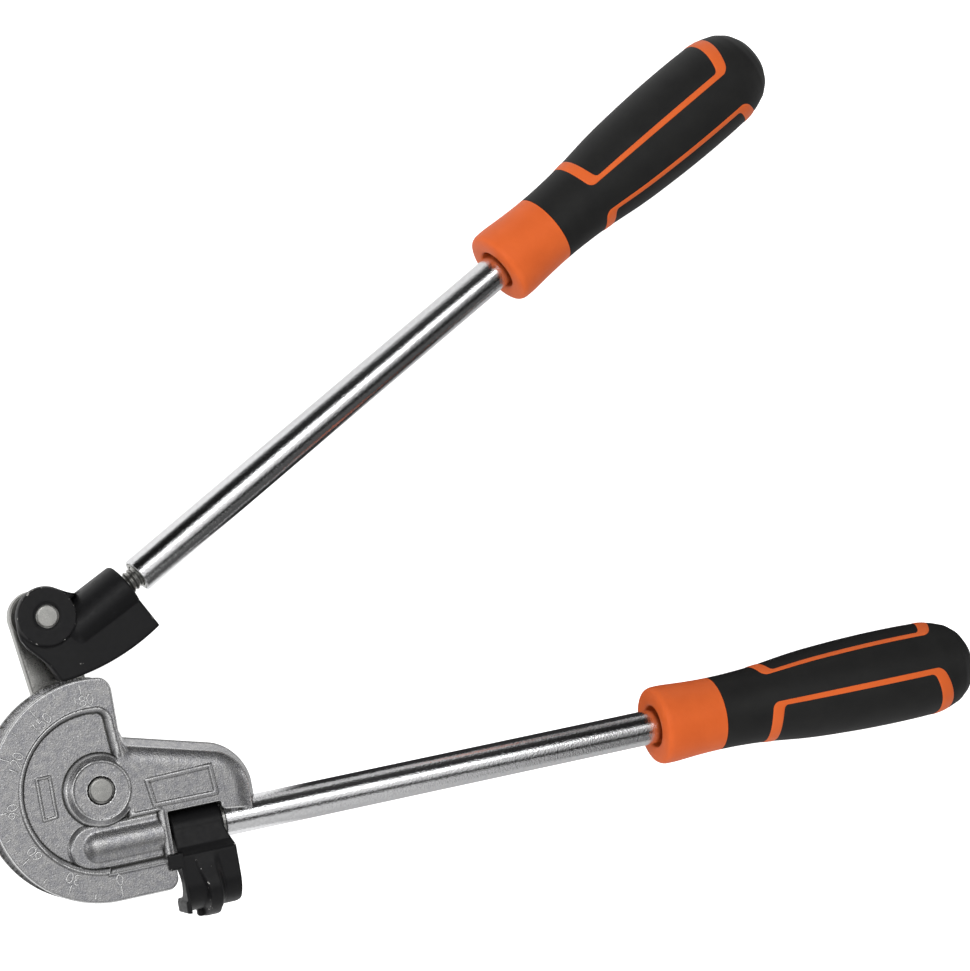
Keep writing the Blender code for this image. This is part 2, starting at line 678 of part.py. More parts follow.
def make_shoe():
    """Cast shoe: hub, handle socket and a grooved face that slides the pipe round the wheel."""
    half = shoe_half
    flank = half - shoe_flank_step
    shoe = add_piece("bend_shoe", prism(shoe_outline(), -half, flank, shoe_edge_round,
                                        shoe_edge_round), black_paint, shoe_frame)
    neck = add_piece("shoe_neck_form", prism(neck_outline(), -flank, flank, shoe_edge_round,
                                             shoe_neck_edge_round, 3), None, shoe_frame)
    combine(shoe, neck, "UNION")
    barrel = add_piece("shoe_barrel_form", rod(shoe_barrel_radius, 0.0, shoe_end_x + fit_gap,
                                               0.0, tube_chamfer),
                       None, shoe_frame, (0.0, -shoe_axis_drop, 0.0), along_x)
    combine(shoe, barrel, "UNION")
    hub = add_piece("shoe_hub_form", rod(shoe_hub_radius, -half - fit_gap / 2.0,
                                         shoe_barrel_radius + shoe_hub_rise, 0.0,
                                         shoe_hub_chamfer), None, shoe_frame)
    combine(shoe, hub, "UNION")
    back = add_piece("shoe_back_cutter", prism(
        [(shoe_left_x - overrun, -shoe_face_drop - overrun),
         (shoe_end_x + overrun, -shoe_face_drop - overrun),
         (shoe_end_x + overrun, shoe_hub_radius + overrun),
         (shoe_left_x - overrun, shoe_hub_radius + overrun)],
        -shoe_barrel_radius - overrun, -casting_half), None, shoe_frame)
    combine(shoe, back, "DIFFERENCE")
    centre = (shoe_face_low_x, -shoe_face_drop + shoe_face_radius)
    track = arc(centre, shoe_face_radius + rim_past_pipe_centre, *shoe_track_degrees,
                round_facets * 6)
    groove = add_piece("shoe_groove_cutter", swept_rod(track, groove_radius), None, shoe_frame)
    combine(shoe, groove, "DIFFERENCE")
    hole = add_piece("shoe_hole_cutter", rod(shoe_pin_radius + fit_gap, -casting_half - overrun,
                                             casting_half + overrun), None, shoe_frame)
    combine(shoe, hole, "DIFFERENCE")
    socket = add_piece("shoe_socket_cutter", rod(socket_radius, shoe_end_x - shoe_socket_depth,
                                                 shoe_end_x + overrun),
                       None, shoe_frame, (0.0, -shoe_axis_drop, 0.0), along_x)
    combine(shoe, socket, "DIFFERENCE")
    return shoe


def grip_dome(start_radius, start, end):
    """Points of the rounded end of the grip, a quarter of an oval."""
    points = []
    for angle in range(*grip_dome_degrees):
        share = math.radians(angle)
        points.append((start_radius * math.cos(share), start + (end - start) * math.sin(share)))
    return points


def grip_radius_at(place):
    """Radius of the grip at a distance from its front."""
    share = place / grip_length
    for (low, low_radius), (high, high_radius) in zip(grip_form_shares, grip_form_shares[1:]):
        if low <= share <= high:
            mix = (share - low) / (high - low)
            return grip_radius * (low_radius + (high_radius - low_radius) * mix)
    return grip_radius * grip_form_shares[0][1]


def make_grip(name, parent, place):
    """Hard orange core with its collar, and a soft black cover moulded over it."""
    front_round = grip_front_share * grip_length
    collar_radius = grip_radius * grip_form_shares[0][1]
    core_end = grip_length - grip_end_wall
    bore_end = tube_in_grip + tube_end_gap
    core = [(0.0, bore_end), (tube_radius + fit_gap, bore_end),
            (tube_radius + fit_gap, grip_hole_depth), (grip_hole_radius, grip_hole_depth),
            (grip_hole_radius, grip_hole_lip), (grip_hole_radius + grip_hole_lip, 0.0)]
    for angle in range(0, 91, grip_front_step_degrees):
        turn = math.radians(angle)
        core.append((grip_front_flat_radius
                     + (collar_radius - grip_front_flat_radius) * math.sin(turn),
                     front_round * (1.0 - math.cos(turn))))
    seam_radius = grip_radius_at(grip_seam)
    core += [(radius * grip_radius, share * grip_length) for share, radius in grip_form_shares
             if share * grip_length < grip_seam - fit_gap and share > grip_front_share]
    core += [(seam_radius, grip_seam), (grip_core_radius, grip_seam),
             (grip_core_radius, core_end), (0.0, core_end)]
    add_piece(name + "_grip_core", turned(core, facets=grip_facets), orange_plastic, parent,
              place, along_x)
    inner = grip_core_radius + fit_gap
    cover = [(0.0, core_end + fit_gap), (inner, core_end + fit_gap),
             (inner, grip_seam + fit_gap), (seam_radius, grip_seam + fit_gap)]
    cover += [(radius * grip_radius, share * grip_length) for share, radius in grip_form_shares
              if share * grip_length > grip_seam + fit_gap]
    dome_start = grip_dome_share * grip_length
    cover += grip_dome(grip_radius * grip_form_shares[-1][1], dome_start, grip_length)
    cover.append((0.0, grip_length))
    add_piece(name + "_grip_cover", turned(cover, facets=grip_facets), black_rubber, parent,
              place, along_x)


def make_handle(name, parent, axis_y, stud_start, tube_start, grip_start):
    """Chromed tube on a threaded stud, with a bush between them and a grip on its end."""
    axis = (0.0, axis_y, 0.0)
    tube_end = grip_start + tube_in_grip
    add_piece(name + "_stud", rod(stud_radius, stud_start, tube_start + stud_in_tube,
                                  stud_chamfer, stud_chamfer), zinc_steel, parent, axis, along_x)
    add_piece(name + "_insert", ring(socket_radius, tube_bore - fit_gap, tube_start,
                                     tube_start + insert_length), zinc_steel, parent, axis,
              along_x)
    add_piece(name + "_tube", ring(tube_bore, tube_radius, tube_start, tube_end, tube_chamfer),
              chrome, parent, axis, along_x)
    make_grip(name, parent, (grip_start, axis_y, 0.0))


make_form_wheel()
make_pin("main_pin", main_pin_radius, casting_half + hub_rise + hub_chamfer, form_frame)
make_handle("form", form_frame, handle_axis_y, fixed_stud_start_x, fixed_tube_start_x,
            fixed_grip_start_x)
add_piece("hook_washer", ring(socket_radius, tube_radius, hook_washer_start_x,
                              hook_washer_start_x + hook_washer_thickness),
          zinc_steel, form_frame, (0.0, handle_axis_y, 0.0), along_x)
make_hook()
make_link()
make_shoe()
make_pin("shoe_pin", shoe_pin_radius, shoe_barrel_radius + shoe_hub_rise + hub_chamfer,
         shoe_frame)
make_handle("bend", shoe_frame, -shoe_axis_drop, shoe_end_x - shoe_socket_depth + socket_end_gap,
            shoe_end_x + shoe_tube_gap, moving_grip_start_x)
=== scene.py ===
"""Lever tube bender for 12 mm pipe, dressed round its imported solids.

Each section makes one piece or group of like pieces. Lengths in a section are in millimetres
from the main pin's axis and the pipe's middle plane, until shape() puts them into the mesh.
"""
import math

import bmesh
import bpy
import numpy as np
from mathutils import Matrix


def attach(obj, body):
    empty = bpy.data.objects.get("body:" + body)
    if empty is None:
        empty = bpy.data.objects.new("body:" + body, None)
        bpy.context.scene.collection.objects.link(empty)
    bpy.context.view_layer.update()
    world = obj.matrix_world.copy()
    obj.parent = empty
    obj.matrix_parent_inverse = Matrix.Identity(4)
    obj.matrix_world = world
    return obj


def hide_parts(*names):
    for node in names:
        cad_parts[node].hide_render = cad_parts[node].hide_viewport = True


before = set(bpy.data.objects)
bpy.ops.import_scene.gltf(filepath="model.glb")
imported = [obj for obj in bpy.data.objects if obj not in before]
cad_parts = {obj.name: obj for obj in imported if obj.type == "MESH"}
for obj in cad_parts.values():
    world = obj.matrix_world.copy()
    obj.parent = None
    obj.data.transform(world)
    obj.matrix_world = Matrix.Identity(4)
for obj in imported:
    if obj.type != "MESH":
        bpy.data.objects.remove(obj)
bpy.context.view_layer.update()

# Studio
# A white table lit by large soft panels from above, seen from the left of the tool.
# The camera is the one that took the photograph, fitted to the wheel, the pin and the tubes.
plane_height = 20.0
image_width = 970
focal_pixels = 3460.3
sensor_width = 36.0
camera_place = (-320.24, 116.52, 1297.03)
camera_right = (0.917931, -0.172133, 0.357454)
camera_down = (-0.167958, -0.984858, -0.042950)
camera_ahead = (0.359435, -0.020612, -0.932943)
floor_reach = 40.0
floor_light = 0.93
floor_colour = 0.80
world_light = 0.55
table_grey = 0.52
table_pale = 0.85
table_bright = 0.95
card_dark = 0.03
room_cards = ((-178.0, 0.55), (-46.0, 0.62), (-41.0, 0.62), (-36.0, 0.05), (-28.0, 0.05),
              (-21.0, 0.20), (-13.0, 0.85), (3.0, 0.90), (9.0, 1.6), (13.0, 2.8),
              (21.0, 2.8), (26.0, 0.90), (31.0, 0.10), (36.0, 0.03),
              (66.0, 0.05), (73.0, 0.12), (78.0, 0.70), (88.0, 0.65), (95.0, 0.70),
              (178.0, 0.75))
room_peak = 4.0
room_sides = ((-0.98, 0.95), (-0.74, 0.95), (-0.62, 0.15), (-0.34, 0.12), (-0.14, 0.70),
              (-0.04, 1.0), (0.26, 1.0), (0.42, 0.15), (0.84, 0.12), (0.92, 0.85))

lens = bpy.data.cameras.new("photo_camera")
lens.sensor_fit = "HORIZONTAL"
lens.sensor_width = sensor_width
lens.lens = focal_pixels * sensor_width / image_width
lens.clip_start = 0.05
lens.clip_end = 100.0
photo_camera = bpy.data.objects.new("photo_camera", lens)
axes = Matrix([camera_right, [-part for part in camera_down], [-part for part in camera_ahead]])
photo_camera.matrix_world = axes.transposed().to_4x4()
photo_camera.location = (camera_place[0] / 1000.0, camera_place[1] / 1000.0,
                         (camera_place[2] + plane_height) / 1000.0)
bpy.context.scene.collection.objects.link(photo_camera)
bpy.context.scene.camera = photo_camera
bpy.context.scene.view_settings.view_transform = "Standard"


def link_up(material):
    """Shorthand for a node tree: add(type, settings, inputs) makes a node and wires it."""
    tree = material.node_tree

    def add(kind, settings=(), **inputs):
        node = tree.nodes.new(kind)
        for name, value in dict(settings).items():
            setattr(node, name, value)
        for name, value in inputs.items():
            socket = node.inputs[int(name[1:])] if name[0] == "i" else node.inputs[name]
            if isinstance(value, bpy.types.NodeSocket):
                tree.links.new(value, socket)
            else:
                socket.default_value = value
        return node
    return tree, add


def make_floor():
    """White ground that takes a shadow. Mirrors see it as a grey table with two cards on it.

    One card is dark and lies between the handles; the ground beyond the second handle is pale.
    """
    material = bpy.data.materials.new("white_ground")
    material.use_nodes = True
    tree, add = link_up(material)
    tree.nodes.clear()
    rays = add("ShaderNodeLightPath")
    place = add("ShaderNodeTexCoord")
    parts = add("ShaderNodeSeparateXYZ", i0=place.outputs["Object"])
    across = add("ShaderNodeVectorMath", {"operation": "DOT_PRODUCT"},
                 i0=place.outputs["Object"], i1=(-0.488, 0.873, 0.0))
    beyond = add("ShaderNodeMapRange", {"interpolation_type": "SMOOTHSTEP"},
                 i0=across.outputs["Value"], i1=0.040, i2=0.060, i3=table_grey, i4=table_pale)
    low = add("ShaderNodeMapRange", {"interpolation_type": "SMOOTHSTEP"}, i0=parts.outputs["Y"],
              i1=-0.020, i2=-0.014)
    high = add("ShaderNodeMapRange", {"interpolation_type": "SMOOTHSTEP"}, i0=parts.outputs["Y"],
               i1=0.115, i2=0.095)
    near = add("ShaderNodeMapRange", {"interpolation_type": "SMOOTHSTEP"}, i0=parts.outputs["X"],
               i1=0.074, i2=0.092)
    card = add("ShaderNodeMath", {"operation": "MULTIPLY"}, i0=low.outputs[0],
               i1=high.outputs[0])
    card = add("ShaderNodeMath", {"operation": "MULTIPLY"}, i0=card.outputs[0],
               i1=near.outputs[0])
    plain = add("ShaderNodeMix", {"data_type": "FLOAT"}, i0=near.outputs[0], i2=table_bright,
                i3=beyond.outputs[0])
    mirrored = add("ShaderNodeMix", {"data_type": "FLOAT"}, i0=card.outputs[0],
                   i2=plain.outputs[0], i3=card_dark)
    glow = add("ShaderNodeEmission", i0=(1.0, 1.0, 1.0, 1.0))
    level = add("ShaderNodeMath", {"operation": "MULTIPLY"}, i0=rays.outputs["Is Camera Ray"],
                i1=floor_light)
    tree.links.new(level.outputs[0], glow.inputs["Strength"])
    matt = add("ShaderNodeBsdfDiffuse", i0=(floor_colour, floor_colour, floor_colour, 1.0))
    plain = add("ShaderNodeAddShader", i0=glow.outputs[0], i1=matt.outputs[0])
    mirror = add("ShaderNodeEmission", i0=(1.0, 1.0, 1.0, 1.0))
    tree.links.new(mirrored.outputs[0], mirror.inputs["Strength"])
    both = add("ShaderNodeMixShader", i0=rays.outputs["Is Glossy Ray"], i1=plain.outputs[0],
               i2=mirror.outputs[0])
    add("ShaderNodeOutputMaterial", i0=both.outputs[0])
    mesh = bpy.data.meshes.new("ground")
    reach = floor_reach
    mesh.from_pydata([(-reach, -reach, 0.0), (reach, -reach, 0.0), (reach, reach, 0.0),
                      (-reach, reach, 0.0)], [], [(0, 1, 2, 3)])
    mesh.materials.append(material)
    ground = bpy.data.objects.new("ground", mesh)
    bpy.context.scene.collection.objects.link(ground)


def make_world():
    """Pale all round. Mirrors see a soft box overhead between dark cards, by angle about X."""
    world = bpy.data.worlds.new("pale_room")
    world.use_nodes = True
    bpy.context.scene.world = world
    tree, add = link_up(world)
    tree.nodes.clear()
    rays = add("ShaderNodeLightPath")
    place = add("ShaderNodeTexCoord")
    parts = add("ShaderNodeSeparateXYZ", i0=place.outputs["Generated"])
    angle = add("ShaderNodeMath", {"operation": "ARCTAN2"}, i0=parts.outputs["Y"],
                i1=parts.outputs["Z"])
    found = []
    for source, low, high, cards in ((angle.outputs[0], -math.pi, math.pi, room_cards),
                                     (parts.outputs["X"], -1.0, 1.0, room_sides)):
        share = add("ShaderNodeMapRange", i0=source, i1=low, i2=high)
        ramp = add("ShaderNodeValToRGB", i0=share.outputs[0])
        stops = ramp.color_ramp.elements
        span = 180.0 if cards is room_cards else 1.0
        for place_value, value in cards:
            stop = stops.new((place_value + span) / (2.0 * span))
            stop.color = (*[value / room_peak] * 3, 1.0)
        stops[0].color = (*[cards[0][1] / room_peak] * 3, 1.0)
        stops[-1].color = (*[cards[-1][1] / room_peak] * 3, 1.0)
        found.append(ramp.outputs[0])
    seen = add("ShaderNodeMath", {"operation": "MULTIPLY"}, i0=found[0], i1=found[1])
    seen = add("ShaderNodeMath", {"operation": "MULTIPLY"}, i0=seen.outputs[0],
               i1=room_peak * room_peak)
    plain = add("ShaderNodeMix", {"data_type": "FLOAT"}, i0=rays.outputs["Is Glossy Ray"],
                i2=world_light, i3=seen.outputs[0])
    shown = add("ShaderNodeMix", {"data_type": "FLOAT"}, i0=rays.outputs["Is Camera Ray"],
                i2=plain.outputs[0], i3=1.0)
    glow = add("ShaderNodeBackground", i0=(1.0, 1.0, 1.0, 1.0), i1=shown.outputs[0])
    add("ShaderNodeOutputWorld", i0=glow.outputs[0])


def soft_panel(name, place, aim, size, watts):
    """Rectangular soft light that faces a point."""
    light = bpy.data.lights.new(name, "AREA")
    light.shape = "RECTANGLE"
    light.size, light.size_y = size
    light.energy = watts
    lamp = bpy.data.objects.new(name, light)
    bpy.context.scene.collection.objects.link(lamp)
    back = (np.array(place) - np.array(aim)) / np.linalg.norm(np.array(place) - np.array(aim))
    side = np.cross((0.0, 0.0, 1.0), back)
    side = side / np.linalg.norm(side)
    up = np.cross(back, side)
    lamp.matrix_world = Matrix([side, up, back]).transposed().to_4x4()
    lamp.location = place
    lamp.visible_camera = False
    lamp.visible_glossy = False


make_floor()
make_world()
soft_panel("key_panel", (-0.35, 0.75, 1.10), (0.16, 0.05, 0.0), (1.30, 0.45), 9.0)
soft_panel("fill_panel", (-0.10, -1.00, 0.95), (0.16, 0.0, 0.0), (1.60, 0.60), 7.0)
soft_panel("side_panel", (-1.10, 0.10, 0.80), (0.0, 0.0, 0.0), (0.70, 0.90), 5.0)

# Form wheel
# One die casting in bare aluminium: the grooved wheel with its straight tail, a pocket round
# the hub, the barrel that holds the handle's stud, the arm, and the lug over the handle tube.
# It is made as a front and a back half that meet in the pipe's middle plane.
groove_radius = 6.15
bend_radius = 42.0
rim_radius = 43.0
face_height = 9.3
rim_round = 0.7
arm_slope = (1.2, 3.2, 9.7, 13.0)
flat_x = 10.9
notch_x = (24.2, 45.9)
notch_top = -13.3
lug_bottom = ((44.0, -16.3), (62.0, -18.4))
arm_end = 61.6
arm_top = ((15.0, 17.5), (53.0, 7.7))
arm_corner = 14.5
pocket_radius = 30.9
pocket_depth = 3.2
pocket_side = 7.6
land_radius = 13.6
hub_disc = 11.5
pin_hole = 5.35
axle_y = -21.2
pedestal = (-16.0, 9.3, 7.6)
barrel = (9.4, -4.5, 21.3)
arm_frame = ((17.4, 0.9), (44.3, 1.6), (45.2, -10.3), (19.1, -10.2), 0.65)
date_frame = ((-23.6, 9.2), (-17.9, 9.3), (-17.7, -6.9), (-23.4, -7.4), 0.30)
casting_step = 0.34


def round_max(a, b, radius):
    """Overlap of two regions given by signed distance, with a round outer corner."""
    inner = np.minimum(np.maximum(a, b) + radius, 0.0)
    return inner + np.hypot(np.maximum(a + radius, 0.0), np.maximum(b + radius, 0.0)) - radius


def round_min(a, b, radius):
    """Union of two regions given by signed distance, with a round inner corner."""
    return -round_max(-a, -b, radius)


def ease(value, low, high):
    """S-curve from 0 to 1 between two values: 3t^2 - 2t^3."""
    t = np.clip((value - low) / (high - low), 0.0, 1.0)
    return t * t * (3.0 - 2.0 * t)


def line_distance(x, y, start, end):
    """Signed distance to the line through two points, positive on its left."""
    dx, dy = end[0] - start[0], end[1] - start[1]
    return ((y - start[1]) * dx - (x - start[0]) * dy) / math.hypot(dx, dy)


def polygon_distance(x, y, corners):
    """Signed distance to a closed outline: nearest point on any side, negative inside."""
    nearest = np.full(np.shape(x), 1e9)
    inside = np.zeros(np.shape(x), bool)
    for (ax, ay), (bx, by) in zip(corners, corners[1:] + corners[:1]):
        t = ((x - ax) * (bx - ax) + (y - ay) * (by - ay)) / ((bx - ax) ** 2 + (by - ay) ** 2)
        t = np.clip(t, 0.0, 1.0)
        nearest = np.minimum(nearest, np.hypot(x - ax - t * (bx - ax), y - ay - t * (by - ay)))
        if ay != by:
            crossing = ax + (y - ay) * (bx - ax) / (by - ay)
            inside ^= ((ay > y) != (by > y)) & (x < crossing)
    return np.where(inside, -nearest, nearest)


def stadium_distance(x, y, start, end, half):
    """Signed distance to a bar with round ends."""
    dx, dy = end[0] - start[0], end[1] - start[1]
    t = np.clip(((x - start[0]) * dx + (y - start[1]) * dy) / (dx * dx + dy * dy), 0.0, 1.0)
    return np.hypot(x - start[0] - t * dx, y - start[1] - t * dy) - half


def edge_drop(depth, radius):
    """How far a rounded edge falls at a depth inside the outline: r - sqrt(r^2 - (r - d)^2)."""
    gone = np.clip(radius - depth, 0.0, radius)
    return radius - np.sqrt(np.maximum(radius * radius - gone * gone, 0.0))


def relief_body(edge, top, floor, wall, low, high, step, lip=0.3, levels=12):
    """Solid between two height fields inside an outline, as points and faces.

    A square grid covers the outline edge(x, y) < 0. Points near it move onto the line at
    distance lip inside it, along the slope of edge. From there the skin follows the rounded
    edge out to the outline and down the wall, where wall(x, y, z) may cut a groove.
    """
    x, y = np.meshgrid(np.arange(low[0], high[0] + step, step),
                       np.arange(low[1], high[1] + step, step))
    delta = 0.01

    def slope(px, py):
        gx = (edge(px + delta, py) - edge(px - delta, py)) / (2.0 * delta)
        gy = (edge(px, py + delta) - edge(px, py - delta)) / (2.0 * delta)
        size = np.maximum(np.hypot(gx, gy), 1e-6)
        return gx / size, gy / size

    distance = edge(x, y) + lip
    near = np.abs(distance) < 0.6 * step
    for _ in range(3):
        gx, gy = slope(x[near], y[near])
        off = edge(x[near], y[near]) + lip
        x[near] -= off * gx
        y[near] -= off * gy
    kept = near | (distance < 0.0)
    number = np.arange(x.size).reshape(x.shape)
    corners = np.stack([number[:-1, :-1], number[:-1, 1:], number[1:, 1:], number[1:, :-1]], -1)
    corners = corners.reshape(-1, 4)
    held = kept.ravel()[corners]
    triangles = [corners[held.all(1)][:, [0, 1, 2]], corners[held.all(1)][:, [0, 2, 3]]]
    for gap in range(4):
        lone = (held.sum(1) == 3) & ~held[:, gap]
        triangles.append(corners[lone][:, [(gap + 1) % 4, (gap + 2) % 4, (gap + 3) % 4]])
    triangles = np.concatenate(triangles)
    px, py = x.ravel(), y.ravel()
    ax, ay = px[triangles], py[triangles]
    area = ((ax[:, 1] - ax[:, 0]) * (ay[:, 2] - ay[:, 0])
            - (ax[:, 2] - ax[:, 0]) * (ay[:, 1] - ay[:, 0]))
    middle = edge(ax.mean(1), ay.mean(1)) + lip
    triangles = triangles[(area > 0.02 * step * step) & (middle < 0.02 * step)]
    used, triangles = np.unique(triangles, return_inverse=True)
    triangles = triangles.reshape(-1, 3)
    px, py = px[used], py[used]

    sides = np.concatenate([triangles[:, [0, 1]], triangles[:, [1, 2]], triangles[:, [2, 0]]])
    key = sides[:, 0] * np.int64(px.size) + sides[:, 1]
    back_key = sides[:, 1] * np.int64(px.size) + sides[:, 0]
    rim_sides = sides[~np.isin(key, back_key)]
    rim, rim_sides = np.unique(rim_sides, return_inverse=True)
    rim_sides = rim_sides.reshape(-1, 2)
    rx, ry = px[rim], py[rim]
    nx, ny = slope(rx, ry)

    points = [np.stack([px, py, top(px, py)], 1)]
    faces = [triangles]
    depths = lip * np.array([0.55, 0.22, 0.05, 0.0])
    ring_rows = []
    for depth in depths:
        ox, oy = rx + nx * (lip - depth), ry + ny * (lip - depth)
        ring_rows.append(np.stack([ox, oy, top(ox, oy)], 1))
    outer_x, outer_y = ox, oy
    z_high = ring_rows[-1][:, 2]
    z_low = np.zeros_like(z_high) if floor is None else floor(outer_x, outer_y)
    for share in (levels if np.ndim(levels) else np.linspace(0.0, 1.0, levels + 1)[1:]):
        z = z_high + (z_low - z_high) * share
        wx, wy = wall(outer_x, outer_y, z) if wall else (outer_x, outer_y)
        ring_rows.append(np.stack([wx, wy, z], 1))
    if floor is not None:
        for depth in depths[-2::-1]:
            ox, oy = rx + nx * (lip - depth), ry + ny * (lip - depth)
            ring_rows.append(np.stack([ox, oy, floor(ox, oy)], 1))
    count = px.size
    above = rim
    for row in ring_rows:
        below = count + np.arange(rim.size)
        points.append(row)
        quads = np.stack([above[rim_sides[:, 1]], above[rim_sides[:, 0]],
                          below[rim_sides[:, 0]], below[rim_sides[:, 1]]], 1)
        faces += [quads[:, [0, 1, 2]], quads[:, [0, 2, 3]]]
        above = below
        count += rim.size
    if floor is not None:
        points.append(np.stack([px, py, floor(px, py)], 1))
        below = count + rim
        quads = np.stack([above[rim_sides[:, 1]], above[rim_sides[:, 0]],
                          below[rim_sides[:, 0]], below[rim_sides[:, 1]]], 1)
        faces += [quads[:, [0, 1, 2]], quads[:, [0, 2, 3]]]
        faces.append(count + triangles[:, ::-1])
    return np.concatenate(points), np.concatenate(faces)


def shape(name, points, faces, material, body, sharp=50.0, nodes=(), closed=True):
    """Put points in millimetres and faces into a mesh, and say what it rides on."""
    mesh = bpy.data.meshes.new(name)
    place = np.asarray(points, float) / 1000.0
    place[:, 2] += plane_height / 1000.0
    mesh.from_pydata(place, [], np.asarray(faces))
    work = bmesh.new()
    work.from_mesh(mesh)
    bmesh.ops.remove_doubles(work, verts=work.verts, dist=1e-6)
    open_edges = [side for side in work.edges if side.is_boundary]
    if open_edges and closed:
        bmesh.ops.holes_fill(work, edges=open_edges, sides=0)
    work.to_mesh(mesh)
    work.free()
    mesh.materials.append(material)
    mesh.shade_smooth()
    mesh.set_sharp_from_angle(angle=math.radians(sharp))
    piece = bpy.data.objects.new(name, mesh)
    bpy.context.scene.collection.objects.link(piece)
    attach(piece, body)
    if nodes:
        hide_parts(*nodes)
    return piece


def new_material(name, roughness, metallic, coat=0.0):
    """Material with its plain numbers on the shader, ready for its patterns."""
    material = bpy.data.materials.new(name)
    material.use_nodes = True
    shader = material.node_tree.nodes["Principled BSDF"]
    shader.inputs["Roughness"].default_value = roughness
    shader.inputs["Metallic"].default_value = metallic
    shader.inputs["Coat Weight"].default_value = coat
    shader.inputs["Specular IOR Level"].default_value = 0.5 if metallic else 0.30
    tree, add = link_up(material)
    return material, shader, tree, add


def speckle_group():
    """Two sizes of noise in one group: broad clouds, fine grain, and their mix as height."""
    group = bpy.data.node_groups.new("cast_skin", "ShaderNodeTree")
    for name, value in (("Cloud size", 300.0), ("Grain size", 3000.0)):
        socket = group.interface.new_socket(name, in_out="INPUT", socket_type="NodeSocketFloat")
        socket.default_value = value
    for name in ("Cloud", "Grain", "Height"):
        group.interface.new_socket(name, in_out="OUTPUT", socket_type="NodeSocketFloat")
    ins = group.nodes.new("NodeGroupInput")
    outs = group.nodes.new("NodeGroupOutput")
    place = group.nodes.new("ShaderNodeTexCoord")
    found = []
    for socket, detail in (("Cloud size", 4.0), ("Grain size", 2.0)):
        noise = group.nodes.new("ShaderNodeTexNoise")
        noise.inputs["Detail"].default_value = detail
        noise.inputs["Roughness"].default_value = 0.62
        group.links.new(place.outputs["Object"], noise.inputs["Vector"])
        group.links.new(ins.outputs[socket], noise.inputs["Scale"])
        found.append(noise.outputs[0])
    both = group.nodes.new("ShaderNodeMath")
    both.operation = "MULTIPLY_ADD"
    both.inputs[1].default_value = 0.6
    group.links.new(found[0], both.inputs[0])
    group.links.new(found[1], both.inputs[2])
    group.links.new(found[0], outs.inputs["Cloud"])
    group.links.new(found[1], outs.inputs["Grain"])
    group.links.new(both.outputs[0], outs.inputs["Height"])
    return group


cast_skin = speckle_group()


def skin(add, cloud_size, grain_size):
    """Place the shared skin pattern in a material."""
    node = add("ShaderNodeGroup", {"node_tree": cast_skin})
    node.inputs["Cloud size"].default_value = cloud_size
    node.inputs["Grain size"].default_value = grain_size
    return node


def blend_colour(add, factor, low, high, first, second):
    """Colour that goes from first to second as a factor goes from low to high."""
    span = add("ShaderNodeMapRange", i0=factor, i1=low, i2=high)
    return add("ShaderNodeMix", {"data_type": "RGBA"}, i0=span.outputs[0],
               i6=(*first, 1.0), i7=(*second, 1.0)).outputs[2]


def make_cast_metal():
    """Bare die-cast aluminium: cloudy sparkling skin, painted highlights on raised edges, painted
    shade in corners.

    The mesh stores how far each place stands above its neighbours as "proud", 0.5 when level.
    """
    material, shader, tree, add = new_material("cast_aluminium", 0.30, 0.88)
    pattern = skin(add, 420.0, 1500.0)
    proud = add("ShaderNodeAttribute", {"attribute_name": "proud"})
    colour = blend_colour(add, pattern.outputs["Cloud"], 0.35, 0.68, (0.34, 0.34, 0.36),
                          (0.50, 0.495, 0.49))
    fleck = add("ShaderNodeMapRange", i0=pattern.outputs["Grain"], i1=0.60, i2=0.72)
    flecked = add("ShaderNodeMix", {"data_type": "RGBA"}, i0=fleck.outputs[0], i6=colour,
                  i7=(0.72, 0.72, 0.73, 1.0))
    # Painted highlight: places that stand proud of their neighbours turn almost white.
    edge = add("ShaderNodeMapRange", i0=proud.outputs["Fac"], i1=0.56, i2=0.85)
    painted_edge_highlight = add("ShaderNodeMix", {"data_type": "RGBA"}, i0=edge.outputs[0],
                 i6=flecked.outputs[2], i7=(0.93, 0.93, 0.93, 1.0))
    # Painted shade: corners and the foot of walls turn dark.
    corner = add("ShaderNodeMapRange", i0=proud.outputs["Fac"], i1=0.44, i2=0.15)
    painted_corner_shade = add("ShaderNodeMix", {"data_type": "RGBA"}, i0=corner.outputs[0],
                 i6=painted_edge_highlight.outputs[2], i7=(0.13, 0.13, 0.125, 1.0))
    tree.links.new(painted_corner_shade.outputs[2], shader.inputs["Base Color"])
    rough = add("ShaderNodeMapRange", i0=pattern.outputs["Grain"], i1=0.30, i2=0.70, i3=0.36,
                i4=0.20)
    tree.links.new(rough.outputs[0], shader.inputs["Roughness"])
    bump = add("ShaderNodeBump", Height=pattern.outputs["Height"], Strength=0.75,
               Distance=0.00012)
    tree.links.new(bump.outputs[0], shader.inputs["Normal"])
    return material


# The stored value picks where cast_aluminium gets its painted edge highlight and painted corner
# shade.
def add_proud(piece, face, reach=0.5, gain=2.2):
    """Store how proud the face stands: half plus its height less the mean height around it."""
    count = len(piece.data.vertices)
    place = np.empty(count * 3)
    piece.data.vertices.foreach_get("co", place)
    x, y, z = place.reshape(-1, 3).T * 1000.0
    around = (face(x + reach, y) + face(x - reach, y) + face(x, y + reach)
              + face(x, y - reach)) / 4.0
    proud = np.clip(0.5 + gain * (face(x, y) - around), 0.0, 1.0)
    level = ease(np.abs(z - plane_height), 1.0, 2.0)
    layer = piece.data.attributes.new("proud", "FLOAT", "POINT")
    layer.data.foreach_set("value", 0.5 + (proud - 0.5) * level)


cast_metal = make_cast_metal()


def arm_outer(x, y):
    """Signed distance to the arm's sloping back and its large end corner."""
    return round_max(line_distance(x, y, arm_top[0], arm_top[1]), x - arm_end, arm_corner)


